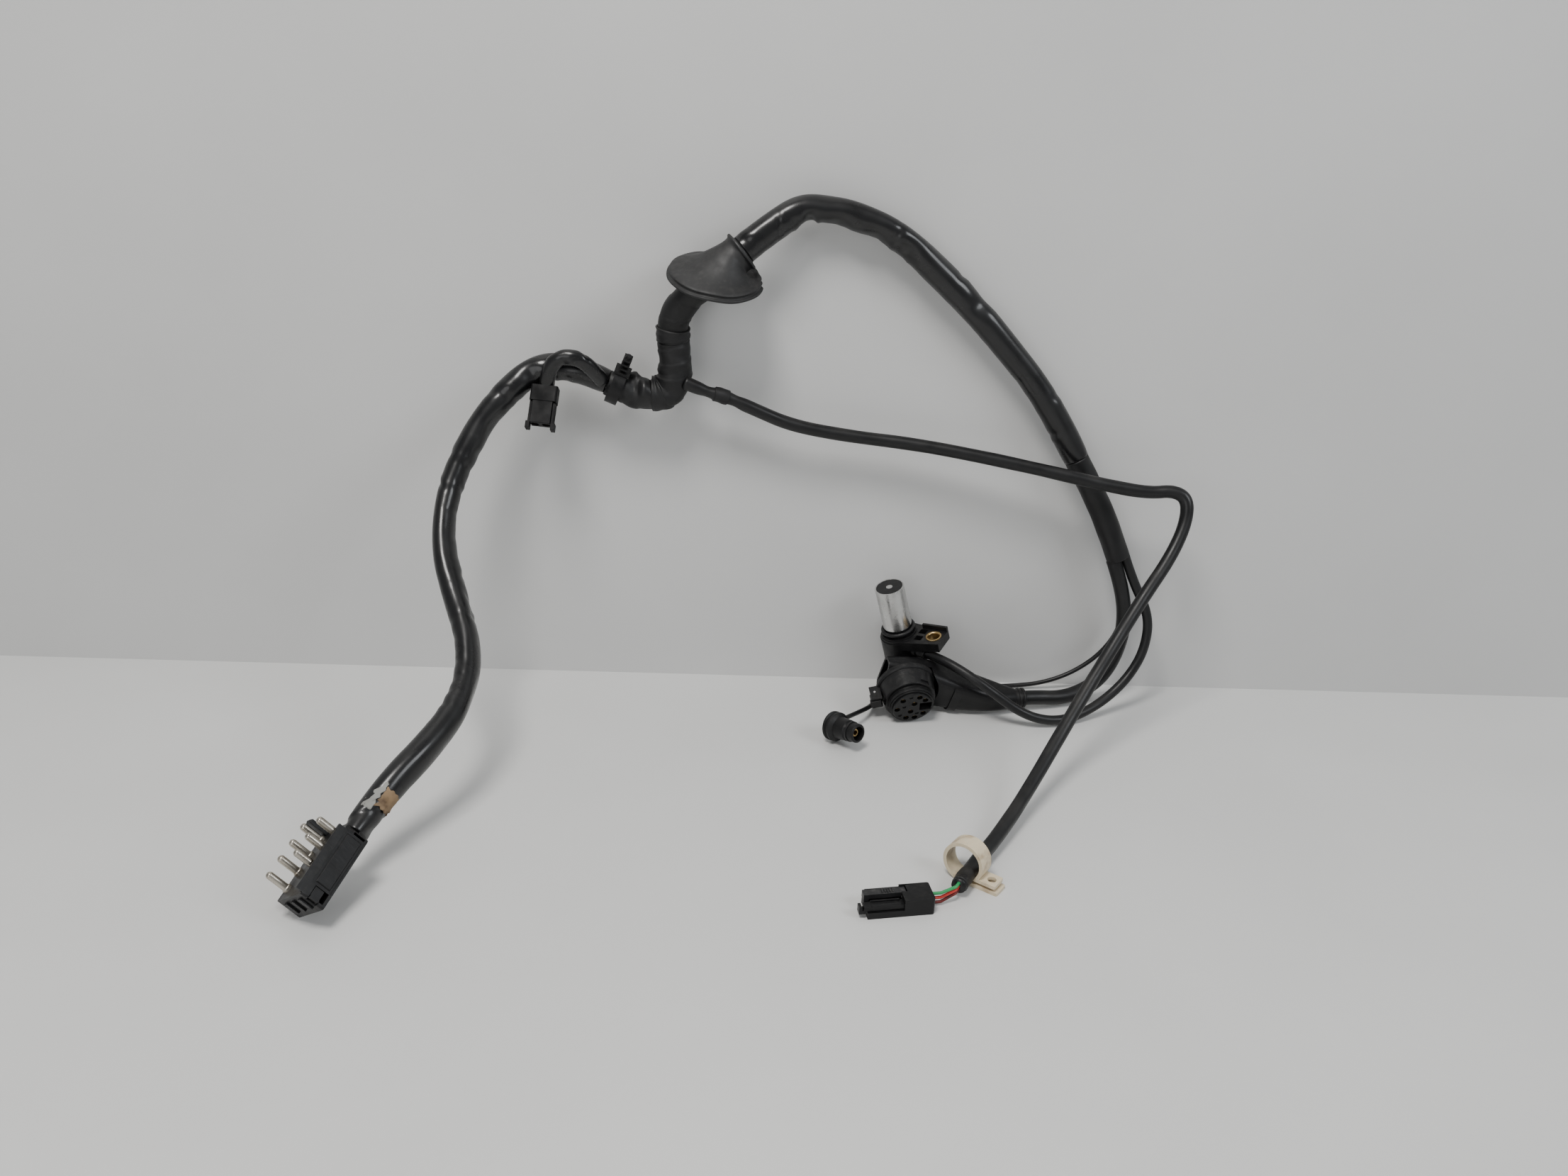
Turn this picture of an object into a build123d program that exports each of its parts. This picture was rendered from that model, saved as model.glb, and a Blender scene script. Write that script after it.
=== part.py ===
from build123d import *
import math
import os

# Vehicle wiring harness with six ends: a pin header, a two-way plug, a panel grommet, a speed sensor,
# a round multi-pole connector, a single-pole connector and a small clipped plug. Millimetres.
# Points are given on the bench: x to the right, y back to the wall at y = 0, z up from the floor at z = 0.
# The part's own origin is the middle of the grommet's lip, where a body panel holds the harness.
ORIGIN = (-20.0, -27.0, 258.0)

# ---- driving dimensions -----------------------------------------------------------------------------------
# pin header
PIN_PITCH = 9.3
PIN_ROW_GAP = 16.0
PIN_RADIUS = 1.85
PIN_COLLAR = 2.4
PIN_REACH = 12.5
HEADER_LENGTH = 40.0
HEADER_WIDTH = 24.0
HEADER_DEPTH = 13.0
HEADER_WALL = 1.6
HEADER_TOP = 5.0
HEADER_RIM = 3.4
COVER_THICK = 1.5
COVER_MARGIN = 0.9
LATCH_LENGTH = 6.0
LATCH_WIDTH = 5.0
MOVING_GAP = 0.3
WIRE_RADIUS = 0.8
SLEEVE_GAP = 2.5
# sleeves and cables
MAIN_RADIUS = 7.25
WRAP_RADIUS = 9.5
RISER_RADIUS = 8.6
ARCH_RADIUS = 7.8
SHRINK_RADIUS = 7.2
BRANCH_RADIUS = 3.75
ROUND_CABLE_RADIUS = 4.5
SENSOR_CABLE_RADIUS = 2.9
THIN_WIRE_RADIUS = 1.4
PLUG_BRANCH_RADIUS = 4.0
# grommet
LIP_RADIUS = 27.0
LIP_GROOVE = 25.2
LIP_THICK = 1.6
PANEL_SLOT = 1.6
GROMMET_WALL = 1.8
NECK_RADIUS = 10.4
NECK_LENGTH = 6.0
NECK_RIM = 11.8
# round connector
SHELL_RADIUS = 13.4
SHELL_WALL = 1.2
INSERT_RADIUS = SHELL_RADIUS - SHELL_WALL
SHELL_DEPTH = 22.0
RING_WALL = 2.4
RING_BEAD = 2.5
RING_FRONT_RADIUS = SHELL_RADIUS + RING_WALL
RING_BEAD_RADIUS = RING_FRONT_RADIUS + RING_BEAD
RING_FRONT = 6.0
RING_BACK = 20.0
RUNNING_GAP = 0.05
CONTACT_MARGIN = 2.8
CONTACT_CIRCLE = INSERT_RADIUS - CONTACT_MARGIN
CONTACT_HOLE = 1.75
COLLAR_RADIUS = 6.3
# speed sensor
BARREL_RADIUS = 9.0
BARREL_LENGTH = 28.0
BARREL_WALL = 0.8
BOBBIN_RADIUS = BARREL_RADIUS - BARREL_WALL - 0.6
COIL_RADIUS = BOBBIN_RADIUS - 0.4
COIL_INNER = 3.4
POLE_RADIUS = 2.0
SENSOR_BODY_RADIUS = 12.3
SENSOR_BODY_DEPTH = 30.0
BOLT_OFFSET = 24.0
BUSH_OUTER = 4.95
BUSH_BORE = 3.5
FLANGE_THICK = 6.0
# single-pole connector
BOOT_RADIUS = 8.7
SINGLE_BODY_RADIUS = 6.6
SINGLE_MOUTH_RADIUS = 5.6
SINGLE_LENGTH = 22.0
# two-way plug
TWO_WAY_WIDTH = 15.0
TWO_WAY_DEPTH = 9.0
TWO_WAY_LENGTH = 25.0
SOCKET_RADIUS = 2.3
# retaining clip
CLIP_INNER = 9.2
CLIP_BAND = 1.8
CLIP_WIDTH = 9.5
CLIP_TAB = 20.0
CLIP_HOLE = 2.3
# small plug
PLUG_LENGTH = 33.0
PLUG_REAR = 15.0
PLUG_WIDTH = 13.5
PLUG_HEIGHT = 9.0

# ---- routes: points chosen by hand, each the corner of two straight runs ------------------------------------
MAIN_ROUTE = [(-182.36, -224.06, 25.23), (-177.0, -209.34, 31.25), (-167.5, -195, 40.5), (-157, -179, 47.5),
              (-148, -160, 55), (-143.5, -140, 64), (-146, -119, 79), (-156, -99, 94.5), (-166.5, -80, 115),
              (-168, -61, 137), (-157.5, -44, 163), (-140, -31, 189), (-120, -24, 205), (-100, -21, 205.5),
              (-80.5, -20.2, 197)]
WRAP_ROUTE = [(-80.5, -20.2, 197), (-62.6, -19.8, 189.7), (-44, -19, 192), (-41.5, -19.5, 210), (-43, -20.3, 222)]
RISER_ROUTE = [(-43, -20.3, 222), (-44.25, -20.97, 232), (-38.5, -24, 243.5), (-28.5, -26, 254), (-17, -25, 264),
               (-5, -22.6, 274)]
ARCH_ROUTE = [(-5, -22.6, 274), (8.5, -19.9, 285.2), (29, -13.5, 298), (54, -12, 293.5), (84, -12, 282),
              (113, -12, 257), (144, -12, 227), (174, -12, 194), (196, -12.5, 158)]
SHRINK_ROUTE = [(196, -12.5, 158), (209.7, -12.8, 135.6), (220.5, -14, 116), (229, -16, 96)]
ROUND_CABLE_ROUTE = [(171.6, -36.4, 8.3), (186, -33.9, 8.3), (200, -29.5, 5.6), (214, -25, 7.5),
                     (227, -21.5, 15), (235.5, -19, 30), (239, -18, 52), (234.13, -17.94, 76.55),
                     (226.33, -16.11, 94.87)]
SENSOR_CABLE_ROUTE = [(113.11, -28.955, 34.66), (122.9, -39.7, 35.76), (139, -51.8, 31), (154.5, -57, 21.5),
                      (169, -58.5, 11.5), (183, -58, 5.5), (198, -54.5, 3.4), (213, -47.5, 5.5), (228, -40, 12),
                      (242, -33, 24), (251, -27, 40), (252, -22.5, 61), (240.2, -17.47, 81.25), (233.19, -15.82, 97.74)]
THIN_WIRE_ROUTE = [(230.1, -11.38, 96.01), (237.9, -13.21, 77.7), (240, -8.5, 48), (231, -6.5, 27), (214, -7, 12.5),
                   (194, -8, 4.5), (173, -8.5, 2.2), (151, -9.5, 1.6), (130, -9, 1.7), (110, -11, 1.6),
                   (93, -20, 1.8), (84, -34, 3), (81, -47, 6), (74, -60, 9.5), (61.5, -74.4, 11.6)]
BRANCH_ROUTE = [(-36.5, -24, 199.2), (-25, -24.5, 194.5), (-13, -23, 191.5), (4, -22, 184), (26, -20, 174.5),
                (60, -17.5, 168.5), (98, -19, 165.5), (136, -22.5, 160.5), (176, -28, 154.5), (212, -32, 148),
                (236, -34, 145), (250, -35.5, 147.5), (258, -38.5, 143), (257, -43.5, 129), (248, -53, 112),
                (232, -66, 93), (213, -84, 69.5), (194, -104, 47.5), (175, -127, 28), (155, -156, 13.5),
                (136, -186, 7.5), (118.1, -213, 6.6), (109.5, -228.5, 6.6)]
PLUG_BRANCH_ROUTE = [(-83, -26, 199), (-88.5, -32.5, 208.5), (-97, -35, 214.5), (-107, -34.5, 213.5),
                     (-112, -33, 205), (-114, -31.2, 194.5)]

NODES = {}
RADII = {}


# ---- helpers ----------------------------------------------------------------------------------------------
def place(origin, out, along):
    """Location whose Z points along out and whose X is the part of along that is square to it."""
    z = Vector(*out).normalized()
    x = Vector(*along)
    x = (x - z * x.dot(z)).normalized()
    return Plane(origin=origin, x_dir=x, z_dir=z).location


def rod(radius, low, high, x=0.0, y=0.0):
    return Pos(x, y, low) * Cylinder(radius, high - low, align=(Align.CENTER, Align.CENTER, Align.MIN))


def ring(outer, inner, low, high, x=0.0, y=0.0):
    return rod(outer, low, high, x, y) - rod(inner, low, high, x, y)


def block(x0, x1, y0, y1, z0, z1):
    return Pos((x0 + x1) / 2, (y0 + y1) / 2, (z0 + z1) / 2) * Box(x1 - x0, y1 - y0, z1 - z0)


def turned(*profile):
    """Solid of revolution about Z from (radius, height) corners."""
    outline = Polyline(*[(radius, 0, height) for radius, height in profile], close=True)
    return revolve(make_face(outline), Axis.Z)


def corner_radii(route):
    """Each corner's arc is 0.45 of its shorter run, divided by the tangent of half the turn."""
    points = [Vector(*p) for p in route]
    radii = []
    for before, here, after in zip(points, points[1:], points[2:]):
        run_in = here - before
        run_out = after - here
        turn = math.radians(run_in.get_angle(run_out))
        radii.append(0.45 * min(run_in.length, run_out.length) / math.tan(turn / 2))
    return radii


def hose(name, route, radius):
    """Round tube along straight runs joined by tangent arcs."""
    radii = corner_radii(route)
    path = FilletPolyline(*route, radius=radii)
    section = Plane(origin=path @ 0, z_dir=path % 0) * Circle(radius)
    body = sweep(section, path=path)
    if name:
        expected = math.pi * radius ** 2 * path.length
        RADII[name] = (path.length, min(radii), body.volume / expected)
    return body


def ringed(location, parts):
    """Carry a dictionary of local pieces to the bench and keep them."""
    for name, piece in parts.items():
        NODES[name] = location * piece


# ---- pin header ---------------------------------------------------------------------------------------------
def pin_header():
    """Flat housing with two rows of round pins; x runs to the cable end, z along the pins."""
    margin_x = (HEADER_LENGTH - 3 * PIN_PITCH) / 2
    margin_y = (HEADER_WIDTH - PIN_ROW_GAP) / 2
    x0, x1 = -margin_x, 3 * PIN_PITCH + margin_x
    y0, y1 = -PIN_ROW_GAP - margin_y, margin_y
    floor = -HEADER_DEPTH
    middle = -PIN_ROW_GAP / 2
    seats = [(i * PIN_PITCH, -j * PIN_ROW_GAP) for j in range(2) for i in range(4)]
    filled = [seat for seat in seats if seat != (0.0, -PIN_ROW_GAP)]

    housing = block(x0, x1, y0, y1, floor, 0)
    housing = fillet(housing.edges().filter_by(Axis.Z).sort_by(Axis.X)[-2:], 3.0)
    housing = fillet(housing.edges().filter_by(Axis.Z).sort_by(Axis.X)[:2], 1.0)
    housing += block(x0 + 1, x1 - 3, y0, y0 + HEADER_WALL, 0, HEADER_RIM)
    for shift in (-6.5, 0.0, 6.5):
        housing += block(x0 - 1.0, x0, middle + shift - 1.2, middle + shift + 1.2, floor + 3, -2.5)
    cavity_floor = floor + HEADER_WALL
    housing -= block(x0 + HEADER_WALL, x1 - HEADER_WALL, y0 - 1, y1 - HEADER_WALL, cavity_floor, -HEADER_TOP)
    cable_z = cavity_floor + 2.1
    housing -= block(x1 - HEADER_WALL - 1, x1 + 1, middle - 7, middle + 7, cavity_floor, -HEADER_TOP)
    cover_x0 = x0 + 0.8 + LATCH_LENGTH + MOVING_GAP
    cover_x1 = x1 - 3.0
    cover_z0, cover_z1 = floor + COVER_MARGIN, -COVER_MARGIN
    housing -= block(cover_x0, cover_x1, y0 - 1, y0 + COVER_THICK, cover_z0, cover_z1)
    latch_z = (cover_z0 + cover_z1) / 2
    housing -= block(x0 - 1, cover_x0, y0 - 1, y0 + COVER_THICK + 2 * MOVING_GAP,
                     latch_z - LATCH_WIDTH / 2 - MOVING_GAP, latch_z + LATCH_WIDTH / 2 + MOVING_GAP)
    for x, y in seats:
        housing -= rod(PIN_COLLAR, -HEADER_TOP - 1, 1, x, y)

    cover = block(cover_x0, cover_x1, y0, y0 + COVER_THICK, cover_z0, cover_z1)
    panel = block(cover_x0 + 1.5, cover_x1 - 1.5, y0 - 0.5, y0, cover_z0 + 1.5, cover_z1 - 1.5)
    panel = chamfer(panel.faces().sort_by(Axis.Y)[0].edges(), 0.35)
    cover += panel

    latch_y1 = y0 + COVER_THICK - 0.1
    latch = block(x0 + 0.8, x0 + 0.8 + LATCH_LENGTH, y0 + 0.1, latch_y1,
                  latch_z - LATCH_WIDTH / 2, latch_z + LATCH_WIDTH / 2)
    latch += block(x0 + 0.8, x0 + 2.0, y0 - 0.8, y0 + 0.1, latch_z - LATCH_WIDTH / 2, latch_z + LATCH_WIDTH / 2)

    tail = HEADER_TOP + 2.0
    pin = turned((0, -tail), (1.1, -tail), (1.1, -HEADER_TOP), (PIN_COLLAR, -HEADER_TOP), (PIN_COLLAR, 1.2),
                 (PIN_RADIUS, 1.8), (PIN_RADIUS, PIN_REACH - 1.6), (PIN_RADIUS * 0.86, PIN_REACH - 0.75),
                 (PIN_RADIUS * 0.5, PIN_REACH - 0.15), (0, PIN_REACH))
    pins = Compound(children=[Pos(x, y, 0) * pin for x, y in filled])

    spare = Pos(0, -PIN_ROW_GAP, 0) * (rod(PIN_COLLAR, -HEADER_TOP, -2.5) - rod(1.2, -4, -2))
    peg_x = 3 * PIN_PITCH
    peg = block(peg_x + PIN_COLLAR + 0.3, peg_x + PIN_COLLAR + 2.5, -2.2, 2.2, 0, PIN_REACH - 1.5)
    peg = chamfer(peg.faces().sort_by(Axis.Z)[-1].edges(), 0.8)

    end_x = x1 + SLEEVE_GAP - 0.1
    lanes = {}
    for i in range(4):
        lanes[(i * PIN_PITCH, 0.0)] = middle + 5.8 - 2.0 * (3 - i)
        lanes[(i * PIN_PITCH, -PIN_ROW_GAP)] = middle - 5.8 + 1.9 * (3 - i)
    wires = []
    for x, y in filled:
        lane = lanes[(x, y)]
        route = [(x, y, -tail), (x, y, cable_z), (x, lane, cable_z), (end_x, lane, cable_z)]
        path = FilletPolyline(*route, radius=0.95)
        section = Plane(origin=path @ 0, z_dir=path % 0) * Circle(WIRE_RADIUS)
        wires.append(sweep(section, path=path))
    ringed(HEADER, {
        "header_housing": housing, "header_cover": cover, "header_latch": latch, "header_pins": pins,
        "header_blank_seal": spare, "header_guide_peg": peg, "header_wire_red": wires[3],
        "header_wire_lilac": wires[2], "header_wires_dark": Compound(children=wires[:2] + wires[4:]),
    })
    print("header cable end, local", end_x, middle, cable_z)
    hinge = HEADER * Pos(x0 + 0.8 + LATCH_LENGTH, y0 + 0.8, latch_z)
    report("header_latch hinge", hinge, (0, 0, -1))
    for k, (x, y) in enumerate(filled):
        report(f"header pin {k + 1}", HEADER * Pos(x, y, (1.8 + PIN_REACH - 1.6) / 2), (0, 0, 1))


def report(label, location, axis):
    """Print a point and a direction in the part's own frame, in metres, for the record."""
    spot = location.position - Vector(*ORIGIN)
    tip = (location * Pos(*axis)).position - Vector(*ORIGIN)
    way = tip - spot
    numbers = [round(value / 1000, 6) for value in (spot.X, spot.Y, spot.Z)]
    print(f"{label}: pos_m {numbers} axis {[round(value, 6) for value in (way.X, way.Y, way.Z)]}")


# ---- grommet ------------------------------------------------------------------------------------------------
def circle_points(centre, out, radius, count=36):
    """Corners of a circle, all starting from the same side."""
    seat = place(centre, out, (1, 0, -0.3))
    angles = [2 * math.pi * i / count for i in range(count)]
    return [(seat * Pos(radius * math.cos(a), radius * math.sin(a), 0)).position for a in angles]


def skin(rings):
    """Closed solid whose surface joins each ring of points to the next and the last to the first."""
    faces = []
    for here, there in zip(rings, rings[1:] + rings[:1]):
        for i in range(len(here)):
            j = (i + 1) % len(here)
            faces.append(Face(Wire.make_polygon([here[i], here[j], there[j]])))
            faces.append(Face(Wire.make_polygon([here[i], there[j], there[i]])))
    return Solid(Shell(faces))


def grommet():
    """Rubber cone with a panel groove in its lip; its neck leans over with the riser sleeve."""
    lip_axis = Vector(0.12, -0.27, 0.955).normalized()
    end = Vector(*RISER_ROUTE[-1])
    neck_axis = (end - Vector(*RISER_ROUTE[-2])).normalized()
    foot = Vector(*ORIGIN)
    neck = end - neck_axis * (NECK_LENGTH + 0.4)
    groove_top = LIP_THICK + PANEL_SLOT
    bore = RISER_RADIUS + 0.05

    def lip_ring(radius, height):
        return circle_points(foot + lip_axis * height, lip_axis, radius)

    def neck_ring(radius, height):
        return circle_points(neck + neck_axis * height, neck_axis, radius)

    def between(first, last, share):
        return [p * (1 - share) + q * share for p, q in zip(first, last)]

    shoulder, throat = lip_ring(LIP_RADIUS - 2.2, 4.6), neck_ring(NECK_RADIUS, 0)
    inner_shoulder = lip_ring(LIP_GROOVE - GROMMET_WALL - 0.6, 3.0)
    inner_throat = neck_ring(bore + 0.3, -1.2)
    rings = [lip_ring(LIP_RADIUS, 0), lip_ring(LIP_RADIUS, LIP_THICK), lip_ring(LIP_GROOVE, LIP_THICK),
             lip_ring(LIP_GROOVE, groove_top), lip_ring(LIP_RADIUS - 1.0, groove_top), shoulder]
    rings += [between(shoulder, throat, share) for share in (0.33, 0.66)]
    rings += [throat, neck_ring(NECK_RADIUS, NECK_LENGTH - 2.0), neck_ring(NECK_RIM, NECK_LENGTH - 1.6),
              neck_ring(NECK_RIM, NECK_LENGTH), neck_ring(bore, NECK_LENGTH), neck_ring(bore, 0), inner_throat]
    rings += [between(inner_throat, inner_shoulder, share) for share in (0.33, 0.66)]
    rings += [inner_shoulder, lip_ring(LIP_GROOVE - GROMMET_WALL, 0)]
    NODES["grommet"] = skin(rings)
    report("panel_seat", place(ORIGIN, lip_axis, (1, 0, 0)), (0, 0, 1))


# ---- sleeves, wraps and cables ------------------------------------------------------------------------------
def hoses():
    NODES["main_sleeve"] = hose("main_sleeve", MAIN_ROUTE, MAIN_RADIUS)
    NODES["junction_wrap"] = hose("junction_wrap", WRAP_ROUTE, WRAP_RADIUS)
    NODES["riser_sleeve"] = hose("riser_sleeve", RISER_ROUTE, RISER_RADIUS)
    NODES["arch_sleeve"] = hose("arch_sleeve", ARCH_ROUTE, ARCH_RADIUS)
    NODES["heat_shrink"] = hose("heat_shrink", SHRINK_ROUTE, SHRINK_RADIUS)
    NODES["round_cable"] = hose("round_cable", ROUND_CABLE_ROUTE, ROUND_CABLE_RADIUS)
    NODES["sensor_cable"] = hose("sensor_cable", SENSOR_CABLE_ROUTE, SENSOR_CABLE_RADIUS)
    NODES["single_pole_wire"] = hose("single_pole_wire", THIN_WIRE_ROUTE, THIN_WIRE_RADIUS)
    NODES["branch_cable"] = hose("branch_cable", BRANCH_ROUTE, BRANCH_RADIUS)
    NODES["plug_branch_sleeve"] = hose("plug_branch_sleeve", PLUG_BRANCH_ROUTE, PLUG_BRANCH_RADIUS)


def cable_clip():
    """Saddle round the start of the wrap with a finned stem that snaps into a panel hole."""
    start, bend = Vector(*WRAP_ROUTE[0]), Vector(*WRAP_ROUTE[1])
    along = (bend - start).normalized()
    saddle = place(start + along * 5.5, along, (0.0, -0.35, 1))
    body = ring(WRAP_RADIUS + 1.3, WRAP_RADIUS, -3.5, 3.5)
    stem_low, stem_high = WRAP_RADIUS + 1.0, WRAP_RADIUS + 13.0
    body += Rot(0, 90, 0) * rod(1.7, stem_low, stem_high)
    body += block(WRAP_RADIUS + 0.8, WRAP_RADIUS + 2.6, -4.2, 4.2, -4.5, 4.5)
    for height in (4.5, 7.5, 10.5):
        low = WRAP_RADIUS + height
        fin = block(low, low + 0.9, -4.6 + 0.12 * height, 4.6 - 0.12 * height, -2.4, 2.4)
        body += fin
    NODES["cable_clip"] = saddle * body


# ---- two-way plug -------------------------------------------------------------------------------------------
def two_way_plug():
    """Plug hanging on its short branch: z runs down towards the sockets, x across the width."""
    half_x, half_y = TWO_WAY_WIDTH / 2, TWO_WAY_DEPTH / 2
    cap_depth = 9.0
    face_z = TWO_WAY_LENGTH - 3.0
    pole = 3.1
    cap = block(-half_x, half_x, -half_y, half_y, 0, cap_depth)
    cap = fillet(cap.edges().filter_by(Axis.Z), 1.2)
    cap -= block(-half_x + 1.4, half_x - 1.4, -half_y + 1.2, half_y - 1.2, 2.0, cap_depth + 1)
    cap -= rod(PLUG_BRANCH_RADIUS - 1.0, -1, 3)
    body = block(-half_x + 1.4, half_x - 1.4, -half_y + 1.2, half_y - 1.2, 3.0, cap_depth)
    body += block(-half_x + 1.9, half_x - 1.9, -half_y + 0.4, half_y - 0.4, cap_depth, face_z)
    body += block(-0.6, 0.6, -half_y - 0.3, -half_y + 0.5, cap_depth, face_z - 2)
    for side in (-1, 1):
        body -= rod(SOCKET_RADIUS, 3.0, TWO_WAY_LENGTH, side * pole)
    contacts = Compound(children=[ring(SOCKET_RADIUS, 1.5, 5.0, face_z - 1.2, side * pole) for side in (-1, 1)])
    arms = {}
    for side, word in ((-1, "left"), (1, "right")):
        inner = half_x - 1.9 + MOVING_GAP
        outer = inner + 1.3
        arm = block(inner, outer, -2.8, 2.8, cap_depth + MOVING_GAP, TWO_WAY_LENGTH)
        arm += block(outer, outer + 1.0, -2.8, 2.8, TWO_WAY_LENGTH - 4.0, TWO_WAY_LENGTH)
        arms[f"two_way_latch_{word}"] = arm if side > 0 else Rot(0, 0, 180) * arm
    wires = Compound(children=[rod(1.2, 1.2, 2.95, side * 1.45) for side in (-1, 1)])
    ringed(TWO_WAY, {"two_way_cap": cap, "two_way_housing": body, "two_way_contacts": contacts,
                     "two_way_wires": wires, **arms})
    for side, word in ((-1, "left"), (1, "right")):
        x = side * (half_x - 1.9 + MOVING_GAP + 0.65)
        report(f"two_way_latch_{word} hinge", TWO_WAY * Pos(x, 0, cap_depth + 0.6), (0, 1, 0))
        report(f"two_way socket {word}", TWO_WAY * Pos(side * pole, 0, face_z - 4.0), (0, 0, 1))


# ---- round connector ----------------------------------------------------------------------------------------
def backshell_section(x, y0, y1, z0, z1, corner):
    """Rounded rectangle square to x, for the funnel-shaped backshell."""
    plane = Plane(origin=(x, (y0 + y1) / 2, (z0 + z1) / 2), x_dir=(0, 1, 0), z_dir=(1, 0, 0))
    return plane * RectangleRounded(y1 - y0, z1 - z0, corner)


def funnel(grow):
    """Outer surface of the backshell, grown all round by grow."""
    return loft([
        backshell_section(-13, -13 - grow, 13 + grow, -32 - grow, -SHELL_DEPTH + grow, 4.5 + grow),
        backshell_section(16, -13 - grow, 12.5 + grow, -31 - grow, -12 + grow, 5 + grow),
        backshell_section(44, -9 - grow, 9 + grow, -24 - grow, -4 + grow, 5 + grow),
        backshell_section(69, -6 - grow, 6 + grow, -16 - grow, -4 + grow, 5.5 + grow),
    ])


def round_connector():
    """Bayonet connector with its face at z = 0 looking along +z, and a backshell leading off along x."""
    insert = rod(INSERT_RADIUS, -18, 0)
    insert = chamfer(insert.faces().sort_by(Axis.Z)[-1].edges(), 0.4)
    open_angles = (48.5, 78, 144, 195, 261, 294, 331)
    blank_angles = (111, 231)
    inner_spots = ((0.35, 3.4), (-0.15, -3.6))
    spots = [(CONTACT_CIRCLE * math.cos(math.radians(a)), CONTACT_CIRCLE * math.sin(math.radians(a)))
             for a in open_angles]
    spots += list(inner_spots)
    for x, y in spots:
        insert -= rod(CONTACT_HOLE, -15, 1, x, y)
    blanks = [(CONTACT_CIRCLE * math.cos(math.radians(a)), CONTACT_CIRCLE * math.sin(math.radians(a)))
              for a in blank_angles] + [(-5.3, 0.3), (4.2, -4.6)]
    for x, y in blanks:
        insert -= rod(1.2, -0.5, 1, x, y)
    insert -= Rot(0, 0, 13) * block(4.4, 13, -3.2, 3.2, -8, 1)
    contacts = Compound(children=[ring(CONTACT_HOLE, 1.05, -15, -2.2, x, y) for x, y in spots])

    shell = ring(SHELL_RADIUS, INSERT_RADIUS, -SHELL_DEPTH, -1.2)
    shell += ring(SHELL_RADIUS + 0.45, SHELL_RADIUS, -RING_FRONT + RUNNING_GAP, -RING_FRONT + 1.0)
    shell += ring(16.6, SHELL_RADIUS, -SHELL_DEPTH, -RING_BACK - RUNNING_GAP)
    seal = ring(SHELL_RADIUS + 0.5, SHELL_RADIUS, -3.6, -2.2)

    bead = 3.0
    coupling = turned((SHELL_RADIUS + RUNNING_GAP, -RING_BACK), (RING_BEAD_RADIUS, -RING_BACK),
                      (RING_BEAD_RADIUS, -RING_BACK + bead - 0.8), (RING_BEAD_RADIUS - 0.8, -RING_BACK + bead),
                      (RING_FRONT_RADIUS + 1.2, -RING_BACK + bead), (RING_FRONT_RADIUS, -RING_FRONT - 0.5),
                      (RING_FRONT_RADIUS - 0.5, -RING_FRONT), (SHELL_RADIUS + RUNNING_GAP, -RING_FRONT))
    for angle in (70, 190, 310):
        ramp = rod(RING_FRONT_RADIUS + 3, -RING_FRONT - 3, -RING_FRONT + 1)
        ramp &= Rot(0, 0, angle) * block(RING_FRONT_RADIUS - 1.0, RING_FRONT_RADIUS + 4, -3, 3, -20, 10)
        coupling -= ramp
    lug = Rot(0, 0, 200) * (block(RING_FRONT_RADIUS + 0.5, RING_BEAD_RADIUS + 4.6, -4.4, -3.0, -19, -9)
                            + block(RING_FRONT_RADIUS + 0.5, RING_BEAD_RADIUS + 4.6, 3.0, 4.4, -19, -9))
    coupling += lug
    hinge_x = RING_BEAD_RADIUS + 1.2
    lever = Rot(0, 0, 200) * (block(RING_FRONT_RADIUS + 1.6, RING_BEAD_RADIUS + 5.6, -2.6, 2.6, -10.6, -8.2)
                              + block(RING_BEAD_RADIUS + 0.6, RING_BEAD_RADIUS + 3.0, -2.6, 2.6, -18, -10.6))
    lever_pin = Rot(0, 0, 200) * (Pos(hinge_x + 0.6, 0, -14.5) * Rot(90, 0, 0)
                                  * Cylinder(0.7, 8.8))
    lever -= Rot(0, 0, 200) * (Pos(hinge_x + 0.6, 0, -14.5) * Rot(90, 0, 0) * Cylinder(0.7 + RUNNING_GAP, 9.5))
    coupling -= lever_pin

    whole = funnel(0.0)
    inside = funnel(-1.6)
    parting = 1.5
    slab_low = block(-30, 90, -40, parting, -60, 20)
    slab_high = block(-30, 90, parting, 40, -60, 20)
    tunnel = rod(SHELL_RADIUS - 2.0, -SHELL_DEPTH - 4, -SHELL_DEPTH + 1)
    keep_clear = rod(RING_BEAD_RADIUS + 0.6, -SHELL_DEPTH, 5)
    shell_all = whole - inside - tunnel - keep_clear
    base = shell_all & slab_low
    cover = shell_all & slab_high
    strap = (funnel(1.1) - funnel(0.0)) & block(27, 32, -40, 9, -60, 20)
    strap -= block(20, 40, parting - 3, 40, -60, -17)

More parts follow.
